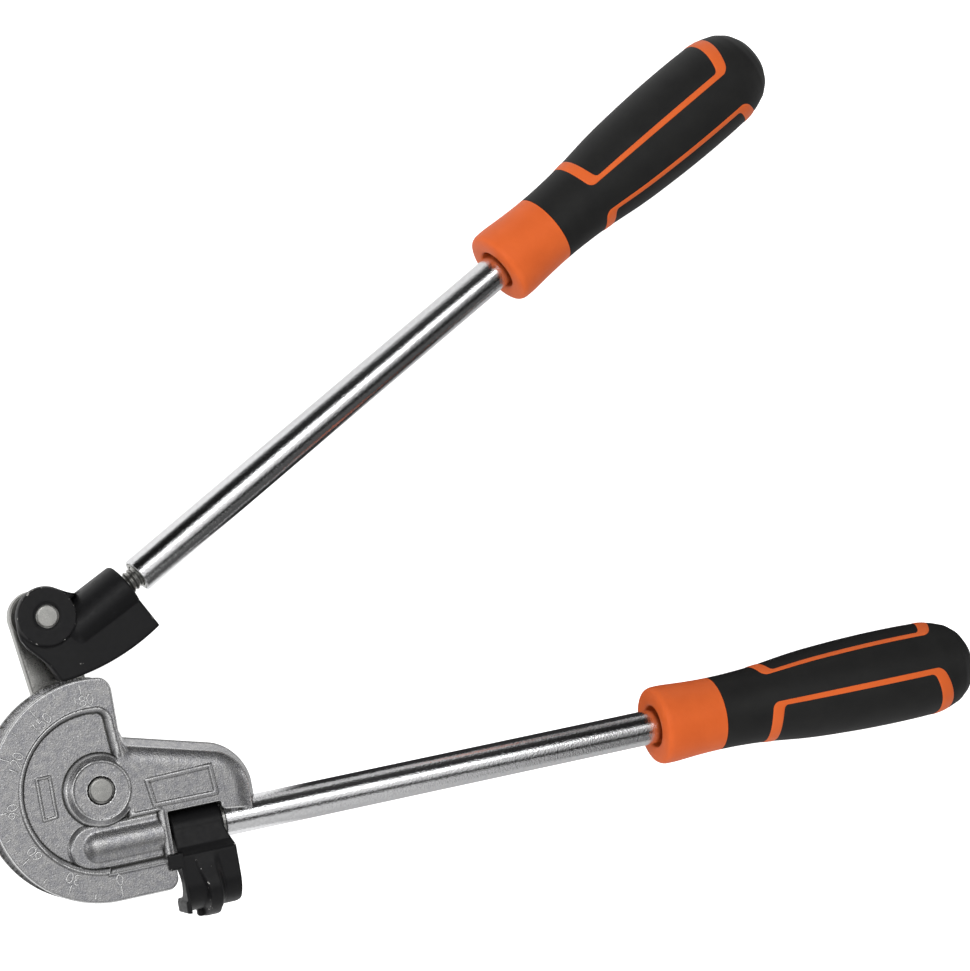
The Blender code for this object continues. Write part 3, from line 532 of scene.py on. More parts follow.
def casting_edge(x, y):
    """Outline of the casting: wheel, tail and arm joined, less the hook's notch."""
    wheel = round_max(np.hypot(x, y) - rim_radius, x - flat_x, 4.5)
    tail = round_max(x - notch_x[0], -rim_radius - y, 5.0)
    tail = np.maximum(tail, np.maximum(y + 5.0, -x))
    arm = np.maximum(arm_outer(x, y), np.maximum(2.0 - x, -25.0 - y))
    body = round_min(np.minimum(wheel, tail), arm, 3.0)
    lug = round_max(notch_x[1] - x, -line_distance(x, y, *lug_bottom), 1.8)
    open_side = round_min(round_min(x - notch_x[0], notch_top - y, 0.8), lug, 0.8)
    return round_max(body, open_side, 0.5)


def ridge(distance, width):
    """Rounded raised line where a distance is nought: exp(-(d / w)^2)."""
    return np.exp(-(distance / width) ** 2)


def casting_relief(x, y, front):
    """Height of the casting's face: pocket, pedestal, barrel, hub disc and raised frames."""
    height = np.full(np.shape(x), face_height)
    radius = np.hypot(x, y)
    ring = round_max(radius - pocket_radius, x - pocket_side - 0.07 * (28.0 - y), 3.5)
    trough = round_max(round_max(x - 21.6, y + 11.8, 0.8), -31.5 - y, 1.0)
    trough = np.maximum(trough, -2.0 - x)
    outer = np.minimum(ring, trough)
    inner_wall = ease(radius, land_radius - 0.3, land_radius + 1.3)
    height = height - pocket_depth * np.minimum(ease(-outer, -0.2, 2.2), inner_wall)
    height = height - 0.8 * ease(radius, hub_disc, land_radius) * ease(-outer, 0.0, 1.5)
    lip = ridge(outer - 0.55, 0.42) * ease(radius, 14.6, 15.6)
    height = height + 0.42 * lip
    start, half, level = pedestal
    deck = stadium_distance(x, y, (start + half, axle_y), (40.0, axle_y), half)
    deck = np.maximum(deck, x - 21.6)
    floor_level = face_height - pocket_depth
    raised = floor_level + (level - floor_level) * ease(-deck, -0.3, 1.7)
    height = np.where(outer < 0.0, np.maximum(height, raised), height)
    size, dome, end = barrel
    beyond = np.maximum(dome - x, 0.0)
    bar = np.sqrt(np.maximum(size ** 2 - (y - axle_y) ** 2 - beyond ** 2, 0.0))
    bar = np.where(x < end, bar, 0.0)
    blend = np.clip(0.5 + (bar - height) / 1.2, 0.0, 1.0)
    height = height + (bar - height) * blend + 0.6 * blend * (1.0 - blend)
    height = height + 0.20 * ease(hub_disc - radius, -0.3, 0.3)
    height = height + 0.26 * ridge(radius - hub_disc + 0.3, 0.32)
    if front:
        for *corners, half in (arm_frame, date_frame):
            border = np.abs(polygon_distance(x, y, corners) + half) - half
            height = height + 0.38 * ease(-border, -0.30, 0.20)
    height = height - 2.5 * ease(pin_hole - radius, -0.12, 0.12)
    depth = -casting_edge(x, y)
    fall = edge_drop(np.maximum(depth, 0.0), rim_round)
    base, crease, level, size = arm_slope
    arm_depth = np.maximum(-arm_outer(x, y), 0.0)
    shoulder = size - np.sqrt(size ** 2 - np.clip(level - arm_depth, 0.0, level - crease) ** 2)
    fallen = size - math.sqrt(size ** 2 - (level - crease) ** 2)
    slope = (face_height - base - fallen) / crease
    arm_fall = shoulder + slope * np.maximum(crease - arm_depth, 0.0)
    return height - np.maximum(fall, arm_fall * ease(x, 10.6, 14.5))


def pipe_groove(x, y, z):
    """Cut the wall back to the half-round groove: 42 - sqrt(6.15^2 - z^2) from the axis."""
    cut = bend_radius - np.sqrt(np.maximum(groove_radius ** 2 - z ** 2, 0.0))
    cut = np.where(np.abs(z) < groove_radius, cut, rim_radius * 2.0)
    radius = np.maximum(np.hypot(x, y), 1e-6)
    round_side = (x <= 0.0) | ((x < flat_x + 0.4) & (y > 0.0))
    scale = np.where(round_side, np.minimum(cut / radius, 1.0), 1.0)
    straight = (x > 0.0) & (x < notch_x[0] + 0.2) & (y < -20.0)
    return x * scale, np.where(straight, np.maximum(y, -cut), y * scale)


rim_level = face_height - rim_round
groove_angles = np.radians(np.arange(0.0, 90.1, 7.5))
groove_levels = 1.0 - np.concatenate([[6.35], groove_radius * np.cos(groove_angles)]) / rim_level
for half_name, front in (("casting_front", True), ("casting_back", False)):
    points, faces = relief_body(casting_edge, lambda x, y: casting_relief(x, y, front), None,
                                pipe_groove, (-44.0, -44.0), (63.0, 44.0), casting_step,
                                levels=groove_levels)
    if not front:
        points[:, 2] *= -1.0
        faces = faces[:, ::-1]
    casting = shape(half_name, points, faces, cast_metal, "form",
                    nodes=["form_wheel"] if front else [])
    # For the painted edge highlight and corner shade, the face outside the outline counts as 0.4
    # below rim_level.
    add_proud(casting, lambda x, y: np.where(casting_edge(x, y) < 0.0,
                                             casting_relief(x, y, front), rim_level - 0.4))

# Scale
# Raised degree marks and plain numbers cast on the wheel's rim, read with the tops outward.
# Long marks stand at every 30 degrees and short ones between them.
scale_offset = -1.8
stroke_height = 0.30
stroke_half = 0.40
number_radius = 34.9
number_height = 3.9
number_gap = 3.0


def bend(cx, cy, rx, ry, start, end, count=14):
    """Points on part of an oval, between two angles in degrees."""
    angle = np.radians(np.linspace(start, end, count))
    return np.stack([cx + rx * np.cos(angle), cy + ry * np.sin(angle)], 1)


def digit_strokes(digit):
    """Strokes of one figure in a box one high; each is a line of points."""
    if digit == "0":
        return [bend(0.0, 0.5, 0.29, 0.5, 90.0, 450.0, 29)]
    if digit == "1":
        return [np.array([(-0.16, 0.76), (0.04, 1.0), (0.04, 0.5), (0.04, 0.0)])]
    if digit == "2":
        top = bend(0.0, 0.72, 0.28, 0.28, 165.0, -35.0)
        return [np.concatenate([top, [(-0.28, 0.0), (0.30, 0.0)]])]
    if digit == "3":
        return [bend(-0.02, 0.75, 0.25, 0.25, 150.0, -88.0),
                bend(-0.02, 0.26, 0.29, 0.26, 88.0, -150.0)]
    if digit == "5":
        belly = bend(0.0, 0.31, 0.29, 0.31, 125.0, -145.0)
        return [np.concatenate([[(0.26, 1.0), (-0.18, 1.0)], belly])]
    if digit == "8":
        return [bend(0.0, 0.75, 0.24, 0.25, 90.0, 450.0, 23),
                bend(0.0, 0.26, 0.29, 0.26, 90.0, 450.0, 23)]
    tail = np.stack([np.linspace(-0.28, 0.20, 9), 0.36 + 0.62 * np.linspace(0.0, 1.0, 9) ** 0.6], 1)
    six = [bend(0.0, 0.29, 0.29, 0.29, 90.0, 450.0, 23), tail]
    if digit == "6":
        return six
    return [np.array([0.0, 1.0]) - stroke * np.array([1.0, 1.0]) for stroke in six]


def half_round(line, half, height, base):
    """Half-round bead along a line: across it the height follows a half circle."""
    line = np.asarray(line, float)
    way = np.gradient(line, axis=0)
    way = way / np.linalg.norm(way, axis=1)[:, None]
    side = np.stack([way[:, 1], -way[:, 0]], 1)
    far = np.linalg.norm(line[-1] - line[0])
    size = np.ones(len(line))
    if far > 0.3:
        line = np.concatenate([[line[0] - way[0] * half * 0.8], line,
                               [line[-1] + way[-1] * half * 0.8]])
        side = np.concatenate([side[:1], side, side[-1:]])
        size = np.concatenate([[0.15], size, [0.15]])
    turn = np.radians(np.linspace(0.0, 180.0, 9))
    reach = (half * size)[:, None] * np.cos(turn)
    flat = line[:, None, :] + reach[..., None] * side[:, None, :]
    rise = base - 0.08 + (height + 0.08) * size[:, None] * np.sin(turn)
    grid = np.concatenate([flat, rise[..., None]], -1)
    rows, columns = grid.shape[:2]
    number = np.arange(rows * columns).reshape(rows, columns)
    faces = np.stack([number[:-1, :-1], number[1:, :-1], number[1:, 1:], number[:-1, 1:]], -1)
    return grid.reshape(-1, 3), faces.reshape(-1, 4)


def make_scale():
    """Every mark and figure is a half-round bead on the rim's face."""
    points, faces, count = [], [], 0
    for degrees in range(0, 181, 15):
        angle = math.radians(degrees + scale_offset)
        out = np.array([-math.sin(angle), -math.cos(angle)])
        right = np.array([out[1], -out[0]])
        inner = 37.3 if degrees % 30 == 0 else 39.3
        lines = [np.linspace(inner, 41.4, 9)[:, None] * out]
        if degrees % 30 == 0:
            figures = str(degrees)
            for index, figure in enumerate(figures):
                shift = (index - (len(figures) - 1) / 2.0) * number_gap
                for stroke in digit_strokes(figure):
                    across = shift + stroke[:, :1] * number_height
                    up = number_radius + (stroke[:, 1:] - 0.5) * number_height
                    lines.append(up * out + across * right)
        for line in lines:
            bead, quads = half_round(line, stroke_half, stroke_height, face_height)
            points.append(bead)
            faces.append(quads + count)
            count += len(bead)
    marks = shape("scale_marks", np.concatenate(points), np.concatenate(faces), cast_metal,
                  "form", sharp=70.0, closed=False)
    place = np.empty(len(marks.data.vertices) * 3)
    marks.data.vertices.foreach_get("co", place)
    # Each bead's foot gets painted shade and its crown a painted highlight through the proud value.
    height = place.reshape(-1, 3)[:, 2] * 1000.0 - plane_height - face_height
    layer = marks.data.attributes.new("proud", "FLOAT", "POINT")
    layer.data.foreach_set("value", 0.2 + 0.8 * ease(height, 0.05, 0.7 * stroke_height))


make_scale()

# Pivot pins, washers and link bar
# Zinc-plated steel. The link is a flat bar with round ends behind the wheel; a rivet pin with a
# round head goes through each of its ends, with washers on both sides.
link_degrees = 97.4
link_length = 69.7
link_half = (12.6, 9.9)
link_shift = 3.0
link_heights = (-10.9, -15.9)
head_back = -20.0
head_front = -17.5
head_radius = 8.0
pins = (("main_pin", "form", 5.0, 10.3, 0.0), ("shoe_pin", "shoe", 4.6, 10.6, link_length))
round_facets = 96


def lathe(profile, facets=round_facets, axis=(0.0, 0.0, 1.0), centre=(0.0, 0.0, 0.0)):
    """Turned piece: each (along, radius) of the profile becomes a ring of points."""
    profile = np.asarray(profile, float)
    axis = np.asarray(axis, float)
    first = np.cross(axis, (0.0, 1.0, 0.0) if abs(axis[2]) > 0.5 else (0.0, 0.0, 1.0))
    first = first / np.linalg.norm(first)
    second = np.cross(axis, first)
    angle = np.linspace(0.0, math.tau, facets, endpoint=False)[:, None]
    spoke = np.cos(angle) * first + np.sin(angle) * second
    points = (np.asarray(centre) + profile[:, 0, None, None] * axis
              + profile[:, 1, None, None] * spoke)
    return points, ring_faces(len(profile), facets)


def ring_faces(rows, columns):
    """Faces between rings of points that close on themselves."""
    number = np.arange(rows * columns).reshape(rows, columns)
    ahead = np.roll(number, -1, axis=1)
    return np.stack([number[:-1], ahead[:-1], ahead[1:], number[1:]], -1).reshape(-1, 4)


def round_corner(start, corner, end, radius, steps=5):
    """Points of a rounded corner in a lathe profile."""
    start, corner, end = (np.asarray(point, float) for point in (start, corner, end))
    back = (start - corner) / np.linalg.norm(start - corner)
    ahead = (end - corner) / np.linalg.norm(end - corner)
    half = math.acos(np.clip(back @ ahead, -1.0, 1.0)) / 2.0
    reach = radius / math.tan(half)
    centre = corner + (back + ahead) / np.linalg.norm(back + ahead) * radius / math.sin(half)
    first, last = corner + back * reach - centre, corner + ahead * reach - centre
    turn = math.atan2(first[0] * last[1] - first[1] * last[0], first @ last)
    angle = np.linspace(0.0, turn, steps)[:, None]
    side = np.array([-first[1], first[0]])
    return centre + np.cos(angle) * first + np.sin(angle) * side


def rounded_profile(corners):
    """Profile through (along, radius) corners, each with its own rounding as third value."""
    points = [np.array([corners[0][:2]])]
    for before, here, after in zip(corners, corners[1:], corners[2:]):
        if here[2] > 0.0:
            points.append(round_corner(before[:2], here[:2], after[:2], here[2]))
        else:
            points.append(np.array([here[:2]]))
    points.append(np.array([corners[-1][:2]]))
    return np.concatenate(points)


def make_zinc():
    """Zinc-plated steel: slightly warm, with fine scratches from turning and use."""
    material, shader, tree, add = new_material("zinc_steel", 0.34, 1.0)
    pattern = skin(add, 260.0, 2600.0)
    colour = blend_colour(add, pattern.outputs["Cloud"], 0.30, 0.70, (0.42, 0.42, 0.405),
                          (0.54, 0.535, 0.51))
    tree.links.new(colour, shader.inputs["Base Color"])
    rough = add("ShaderNodeMapRange", i0=pattern.outputs["Grain"], i1=0.30, i2=0.70, i3=0.24,
                i4=0.42)
    tree.links.new(rough.outputs[0], shader.inputs["Roughness"])
    bump = add("ShaderNodeBump", Height=pattern.outputs["Height"], Strength=0.30,
               Distance=0.00005)
    tree.links.new(bump.outputs[0], shader.inputs["Normal"])
    return material


zinc = make_zinc()
link_turn = math.radians(link_degrees)
link_end = np.array([math.cos(link_turn), math.sin(link_turn)]) * link_length


def link_edge(x, y):
    """Bar with round ends from one pin to the other, wider on the wheel's side."""
    wide = np.array([math.sin(link_turn), -math.cos(link_turn)]) * link_shift
    dx, dy = link_end - wide
    share = ((x - wide[0]) * dx + (y - wide[1]) * dy) / (dx * dx + dy * dy)
    half = link_half[0] + (link_half[1] - link_half[0]) * np.clip(share, 0.0, 1.0)
    return stadium_distance(x, y, tuple(wide), tuple(link_end), 0.0) - half


def link_face(x, y, level, sign):
    """Flat face with a rounded edge."""
    return level - sign * edge_drop(np.maximum(-link_edge(x, y), 0.0), 0.8)


points, faces = relief_body(link_edge, lambda x, y: link_face(x, y, link_heights[0], 1.0),
                            lambda x, y: link_face(x, y, link_heights[1], -1.0), None,
                            (-22.0, -15.0), (18.0, 83.0), 0.5, lip=0.5, levels=4)
shape("link_plate", points, faces, zinc, "link", nodes=["link_bar"])

for name, body, radius, front, reach in pins:
    centre = np.array([*(link_end * (reach / link_length)), 0.0])
    profile = rounded_profile([
        (head_back, 0.0), (head_back, head_radius, 1.2), (head_front, head_radius, 0.2),
        (head_front, radius, 0.1), (front - 0.25, radius, 0.45), (front, radius - 0.9, 0.6),
        (front, 0.0)])
    points, faces = lathe(profile, centre=centre)
    shape(name + "_turned", points.reshape(-1, 3), faces, zinc, body,
          sharp=40.0, nodes=[name])
for name in ("main_washer", "main_rear_washer", "shoe_washer", "shoe_rear_washer",
             "hook_washer", "form_insert", "bend_insert"):
    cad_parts[name].data.materials.clear()
    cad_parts[name].data.materials.append(zinc)

# Handle studs
# Threaded steel studs: one carries the hook and enters the casting, the other enters the shoe,
# where a short length of thread shows in front of the tube.
shoe_degrees = 29.2
shoe_drop = 12.0
shoe_end = 32.7
tube_starts = (47.4, 39.1)
shoe_turn = math.radians(shoe_degrees)
shoe_axis = np.array([math.cos(shoe_turn), math.sin(shoe_turn), 0.0])
shoe_side = np.array([-math.sin(shoe_turn), math.cos(shoe_turn), 0.0])
shoe_centre = np.array([*link_end, 0.0])
handles = (("form", np.array([0.0, axle_y, 0.0]), np.array([1.0, 0.0, 0.0]), "form"),
           ("bend", shoe_centre - shoe_drop * shoe_side, shoe_axis, "shoe"))
thread_pitch = 2.0
thread_depth = 0.75
stud_radius = 4.4
stud_spans = ((-0.8, 67.4), (11.7, 59.1))


def make_thread(span):
    """Screw thread: the radius falls and rises once in each pitch, turning as it goes."""
    along = np.arange(span[0], span[1] + 0.001, thread_pitch / 12.0)
    angle = np.linspace(0.0, math.tau, 48, endpoint=False)
    phase = along[:, None] / thread_pitch - angle[None, :] / math.tau
    wave = np.abs(2.0 * (phase - np.floor(phase)) - 1.0)
    radius = stud_radius - thread_depth * np.clip(1.25 * wave - 0.15, 0.0, 1.0)
    near_end = np.minimum(along - span[0], span[1] - along)[:, None]
    return along, angle, radius - np.clip(0.7 - near_end, 0.0, 0.7)


def sweep(along, angle, radius, centre, axis):
    """Points of a surface given by distance along an axis, angle round it and radius."""
    side = np.cross((0.0, 0.0, 1.0), axis)
    spoke = np.cos(angle)[:, None] * np.array([0.0, 0.0, 1.0]) + np.sin(angle)[:, None] * side
    return (centre + along[..., None] * axis
            + radius[..., None] * spoke[None, :, :]).reshape(-1, 3)


for (name, centre, axis, body), span in zip(handles, stud_spans):
    along, angle, radius = make_thread(span)
    grid = sweep(np.repeat(along[:, None], angle.size, 1), angle, radius, centre, axis)
    faces = ring_faces(along.size, angle.size)[:, ::-1]
    shape(name + "_thread", grid, faces, zinc, body, sharp=60.0,
          nodes=[name + "_stud"])

# Handle tubes
# Drawn steel tube, 14 mm across, with bright chrome plate that has fine pits here and there.
# Each is pushed over its stud in front and ends inside its grip.
tube_radius = 7.0
tube_bore = 6.0
grip_starts = (232.0, 231.8)
tube_reach = 131.0


def make_chrome():
    """Bright chrome plate with faint pitting that breaks up its reflections."""
    material, shader, tree, add = new_material("chrome_plate", 0.07, 1.0)
    pattern = skin(add, 800.0, 1500.0)
    colour = blend_colour(add, pattern.outputs["Cloud"], 0.35, 0.65, (0.78, 0.78, 0.79),
                          (0.86, 0.86, 0.87))
    tree.links.new(colour, shader.inputs["Base Color"])
    rough = add("ShaderNodeMapRange", i0=pattern.outputs["Cloud"], i1=0.40, i2=0.75, i3=0.05,
                i4=0.16)
    tree.links.new(rough.outputs[0], shader.inputs["Roughness"])
    bump = add("ShaderNodeBump", Height=pattern.outputs["Grain"], Strength=0.90,
               Distance=0.00010)
    tree.links.new(bump.outputs[0], shader.inputs["Normal"])
    return material


chrome = make_chrome()
for (name, centre, axis, body), start, grip in zip(handles, tube_starts, grip_starts):
    end = grip + tube_reach
    profile = rounded_profile([
        (start + 19.0, 0.0), (start + 19.0, tube_bore, 0.0), (start, tube_bore, 0.15),
        (start, tube_radius, 0.35), (end, tube_radius, 0.3), (end, 0.0)])
    points, faces = lathe(profile, axis=axis, centre=centre, facets=128)
    shape(name + "_tube_plated", points.reshape(-1, 3), faces, chrome, body,
          sharp=40.0, nodes=[name + "_tube"])

# Hook
# Cast hook in satin black paint. Its sleeve turns on the stud, its shell closes over the pipe,
# and a tab rests on the wheel's face. Pale flecks on the ridge are painted highlights.
hook_x = (25.5, 45.8, 48.3)
sleeve_radius = 7.4
hook_shell = 11.55
hook_rib = 3.2
hook_tab = ((20.7, -35.6), (26.7, -29.4), 11.6)
hook_lip = -53.5


def make_black_paint():
    """Satin black paint over a cast skin, with pale flecks on outward ridges as painted highlights.
    """
    material, shader, tree, add = new_material("black_paint", 0.42, 0.0)
    pattern = skin(add, 500.0, 2400.0)
    wear = add("ShaderNodeAttribute", {"attribute_name": "wear"})
    painted_highlight_spots = add("ShaderNodeMath", {"operation": "MULTIPLY_ADD"}, i0=wear.outputs["Fac"], i1=0.13,
               i2=pattern.outputs["Cloud"])
    painted_highlight_flecks = add("ShaderNodeMapRange", i0=painted_highlight_spots.outputs[0], i1=0.735, i2=0.75)
    # Painted highlight: the pale colour goes where the ridge mask and the clouds meet.
    colour = add("ShaderNodeMix", {"data_type": "RGBA"}, i0=painted_highlight_flecks.outputs[0],
                 i6=(0.0065, 0.0065, 0.007, 1.0), i7=(0.45, 0.44, 0.42, 1.0))
    tree.links.new(colour.outputs[2], shader.inputs["Base Color"])
    rough = add("ShaderNodeMapRange", i0=pattern.outputs["Cloud"], i1=0.30, i2=0.70, i3=0.36,
                i4=0.50)
    tree.links.new(rough.outputs[0], shader.inputs["Roughness"])
    bump = add("ShaderNodeBump", Height=pattern.outputs["Height"], Strength=0.22,
               Distance=0.00006)
    tree.links.new(bump.outputs[0], shader.inputs["Normal"])
    return material


black_paint = make_black_paint()


def add_wear(piece, face, to_local=None):
    """Store how sharply the face bends outward, its height less that of its neighbours, as the mask
    for painted highlight flecks.
    """
    count = len(piece.data.vertices)
    place = np.empty(count * 3)
    piece.data.vertices.foreach_get("co", place)
    place = place.reshape(-1, 3) * 1000.0
    x, y = (place[:, 0], place[:, 1]) if to_local is None else to_local(place)
    reach = 0.6
    around = (face(x + reach, y) + face(x - reach, y) + face(x, y + reach)
              + face(x, y - reach)) / 4.0
    wear = ease(face(x, y) - around, 0.06, 0.22) * ease(place[:, 2] - plane_height, 4.0, 6.0)
    layer = piece.data.attributes.new("wear", "FLOAT", "POINT")
    layer.data.foreach_set("value", wear)


def hook_edge(x, y):
    """Outline from above: sleeve and neck, the wider shell, the tab and a small ear."""
    v = y - axle_y
    sleeve = round_max(np.abs(x - (hook_x[0] + hook_x[1]) / 2.0) - (hook_x[1] - hook_x[0]) / 2.0,
                       np.maximum(v - sleeve_radius, -14.0 - v), 0.6)
    right = hook_x[1] + (hook_x[2] - hook_x[1]) * ease(-v, 0.5, 10.0)
    shell = round_max(np.maximum(hook_x[0] - x, x - right), np.maximum(v, hook_lip - y), 2.2)
    (tx, ty), (ux, uy), _ = hook_tab
    tab = round_max(np.maximum(tx - x, x - ux), np.maximum(ty - y, y - uy), 0.7)
    ear = round_max(np.maximum(24.7 - x, x - 27.0), np.maximum(-53.3 - y, y + 48.6), 0.8)
    rib = round_max(np.abs(x - 35.6) - 3.9, np.maximum(-56.6 - y, y + 45.0), 1.2)
    body = round_min(np.minimum(sleeve, shell), np.minimum(tab, ear), 0.5)
    return round_min(body, rib, 0.6)


def hook_front(x, y):
    """Front height: round sleeve, sloping neck, round shell about the pipe, rib and tab."""
    v = y - axle_y
    sleeve = np.sqrt(np.maximum(sleeve_radius ** 2 - v ** 2, 0.0))
    neck = np.where(v < 0.0, sleeve_radius - 0.16 * v, sleeve)
    rise = ease(-v, 6.6, 10.4)
    shell = np.sqrt(np.maximum(hook_shell ** 2 - np.minimum(v + 20.8, 0.0) ** 2, 0.0))
    height = neck + (shell - neck) * rise
    left = 30.9 + (34.2 - 30.9) * ease(-v, 9.0, 27.0)
    right = 38.6 + 0.9 * ease(-v, 12.0, 30.0)
    side = ease(x, left - 0.5, left + 0.5) * ease(-x, -right - 2.4, -right + 0.6)
    grown = hook_rib * ease(-v, 9.0, 26.0)
    out = hook_shell + grown
    crown = np.sqrt(np.maximum(out ** 2 - np.minimum(v + 20.8, 0.0) ** 2, 0.0))
    height = np.maximum(height, height + (crown - height) * side * ease(-v, 8.8, 12.0))
    tab = hook_tab[2] * ease(hook_x[0] + 2.0 - x, 0.0, 1.0) * ease(hook_tab[1][1] + 0.4 - y, 0.0, 0.6)
    height = np.where(x < hook_x[0] + 2.0, np.maximum(height, tab), height)
    depth = np.maximum(-hook_edge(x, y), 0.0)
    return height - edge_drop(depth, 0.7)


def hook_back(x, y):
    """Back height: sleeve below, the pipe's round channel, and a lip behind the pipe."""
    v = y - axle_y
    sleeve = -np.sqrt(np.maximum(sleeve_radius ** 2 - v ** 2, 0.0))
    channel = np.sqrt(np.maximum(groove_radius ** 2 - (v + 20.8) ** 2, 0.0))
    height = np.where(v > -sleeve_radius, sleeve, 3.0)
    height = np.where(v < -14.0, np.maximum(channel, 0.2), height)
    height = np.where(v < -26.9, -3.5, height)
    rib = (y < -53.4) & (v < -26.9)
    height = np.where(rib, -2.4, height)
    height = np.where(x < hook_x[0] - 0.2, np.where(y > -40.0, face_height + 0.3, -1.7), height)
    depth = np.maximum(-hook_edge(x, y), 0.0)
    return height + edge_drop(depth, 0.5)


points, faces = relief_body(hook_edge, hook_front, hook_back, None, (19.0, -58.0), (50.0, -12.0),
                            0.30, levels=10)
hook_piece = shape("hook_cast", points, faces, black_paint, "hook", sharp=46.0,
                   nodes=["hook"])
# The hook's outward ridges get painted highlight flecks.
add_wear(hook_piece, hook_front)

# Bending shoe
# Cast block in the same black paint, with a hub on the shoe pin and a socket for the second
# handle. Its long curved face has a half-round groove that slides the pipe round the wheel.
shoe_hub = 11.6
shoe_hub_top = 10.1
shoe_flank = 7.0
shoe_barrel = 9.8
shoe_back = -9.3
shoe_face = (27.0, -31.6, 92.0)
shoe_left = -11.0


def shoe_edge(x, y):
    """Outline in the shoe's own frame: hub, neck over the socket, block and curved face."""
    hub = np.hypot(x, y) - shoe_hub
    low = np.hypot(x - shoe_face[0], y - shoe_face[1] - shoe_face[2]) - shoe_face[2]
    block = np.maximum(round_max(x - shoe_end, y + shoe_drop - shoe_barrel, 0.8), low)
    block = round_max(block, shoe_left - x, 1.2)
    block = np.maximum(block, np.where(x < 0.0, y - 3.0, -1e3))
    return round_min(hub, block, 8.0)


def shoe_front(x, y):
    """Front height: hub disc, round socket barrel, and the flank below its crease."""
    barrel_y = y + shoe_drop
    round_bar = np.sqrt(np.maximum(shoe_barrel ** 2 - np.minimum(np.abs(barrel_y), 9.8) ** 2,
                                   0.0))
    slope = shoe_flank + 1.6 * np.clip((shoe_end - x) / 33.0, 0.0, 1.0)
    low_side = ease(-barrel_y, -3.0, 2.0) + (1.0 - ease(x, 4.0, 13.0)) * ease(barrel_y, -3.0, 2.0)
    height = np.maximum(slope * np.minimum(low_side, 1.0), round_bar * ease(x, -9.0, 6.0))
    hub_rise = ease(shoe_hub - np.hypot(x, y), -0.4, 0.5)
    height = height + (shoe_hub_top - height) * hub_rise
    height = height - 0.28 * ridge(np.hypot(x, y) - 5.0, 0.35)
    depth = np.maximum(-shoe_edge(x, y), 0.0)
    return height - edge_drop(depth, 1.0)


def shoe_rear(x, y):
    """Flat back with a rounded edge, level with the barrel's cut side."""
    radius = np.hypot(x, y)
    cone = shoe_back + 15.3 * np.clip((radius - 7.6) / (shoe_hub - 7.6), 0.0, 1.0)
    block = np.minimum(line_distance(x, y, (-9.0, 2.0), (-10.5, -20.0)),
                       -line_distance(x, y, (-9.0, 0.0), (14.0, -1.0)))
    level = cone + (-8.0 - cone) * ease(block, -0.5, 1.5)
    level = np.minimum(level, np.where(radius < 7.6, shoe_back, 7.0))
    depth = np.maximum(-shoe_edge(x, y), 0.0)
    return level + edge_drop(depth, 0.6)


def shoe_groove(x, y, z):
    """Cut the curved face back to the pipe's groove: R + 1 - sqrt(6.15^2 - z^2)."""
    cx, cy, size = shoe_face[0], shoe_face[1] + shoe_face[2], shoe_face[2]
    cut = size + 1.0 - np.sqrt(np.maximum(groove_radius ** 2 - z ** 2, 0.0))
    cut = np.where(np.abs(z) < groove_radius, cut, size * 2.0)
    radius = np.maximum(np.hypot(x - cx, y - cy), 1e-6)
    scale = np.where(y < -14.0, np.minimum(cut / radius, 1.0), 1.0)
    return cx + (x - cx) * scale, cy + (y - cy) * scale


shoe_levels = np.concatenate([np.linspace(0.02, 0.98, 33), [1.0]])
points, faces = relief_body(shoe_edge, shoe_front, shoe_rear, shoe_groove, (-13.0, -34.0),
                            (35.0, 13.0), 0.32, levels=shoe_levels)
turned = shoe_centre + points[:, :1] * shoe_axis + points[:, 1:2] * shoe_side
turned[:, 2] = points[:, 2]
shoe_piece = shape("shoe_cast", turned, faces, black_paint, "shoe", sharp=46.0,
                   nodes=["bend_shoe"])


def into_shoe(place):
    """Change places on the bench into the shoe's own frame."""
    flat = place[:, :2] - shoe_centre[:2]
    return flat @ shoe_axis[:2], flat @ shoe_side[:2]


# The shoe's outward ridges get the same painted highlight flecks.
add_wear(shoe_piece, shoe_front, into_shoe)

# Grips
# Each handle ends in a grip with a hard orange core and a soft black cover moulded over it.
# The core shows as a collar in front and as two long outlines that come up through the cover.
grip_length = 148.5
grip_radius = 19.75
seam_place = 28.4
grip_front = 1.485
grip_shares = ((0.010, 0.680), (0.012, 0.738), (0.016, 0.774), (0.022, 0.796), (0.036, 0.806),
               (0.055, 0.806), (0.080, 0.795), (0.110, 0.780), (0.150, 0.766), (0.190, 0.760),
               (0.230, 0.762), (0.270, 0.773), (0.310, 0.790), (0.350, 0.816), (0.400, 0.860),
               (0.450, 0.904), (0.500, 0.936), (0.560, 0.962), (0.625, 0.984), (0.700, 0.998),
               (0.770, 1.000), (0.833, 0.992), (0.875, 0.975), (0.910, 0.922), (0.940, 0.842),
               (0.965, 0.708), (0.983, 0.530), (0.994, 0.330), (0.999, 0.140), (1.000, 0.000))
grip_turns = (26.5, -11.5)
hole_radius = 8.5
outline_lines = ((22.3, 47.5, 1.7, 134.0, 6.6, 2.8), (31.0, 53.3, 1.5, 126.9, 4.4, 1.4))


def grip_radius_at(place):
    """Smooth radius of the grip at a distance from its front, by cubic steps."""
    table = np.array(grip_shares)
    s, r = table[:, 0] * grip_length, table[:, 1] * grip_radius
    slope = np.gradient(r, s)
    slope[-6:] = np.minimum(slope[-6:], 0.0)
    place = np.clip(place, s[0], s[-1])
    index = np.clip(np.searchsorted(s, place) - 1, 0, len(s) - 2)
    width = s[index + 1] - s[index]
    t = (place - s[index]) / width
    rise = (r[index + 1] - r[index]) / width
    smooth = s[index] < 0.90 * grip_length
    m0 = np.where(smooth, slope[index], rise)
    m1 = np.where(smooth, slope[index + 1], rise)
    h00, h10 = 2 * t ** 3 - 3 * t ** 2 + 1, t ** 3 - 2 * t ** 2 + t
    h01, h11 = -2 * t ** 3 + 3 * t ** 2, t ** 3 - t ** 2
    return h00 * r[index] + h10 * width * m0 + h01 * r[index + 1] + h11 * width * m1


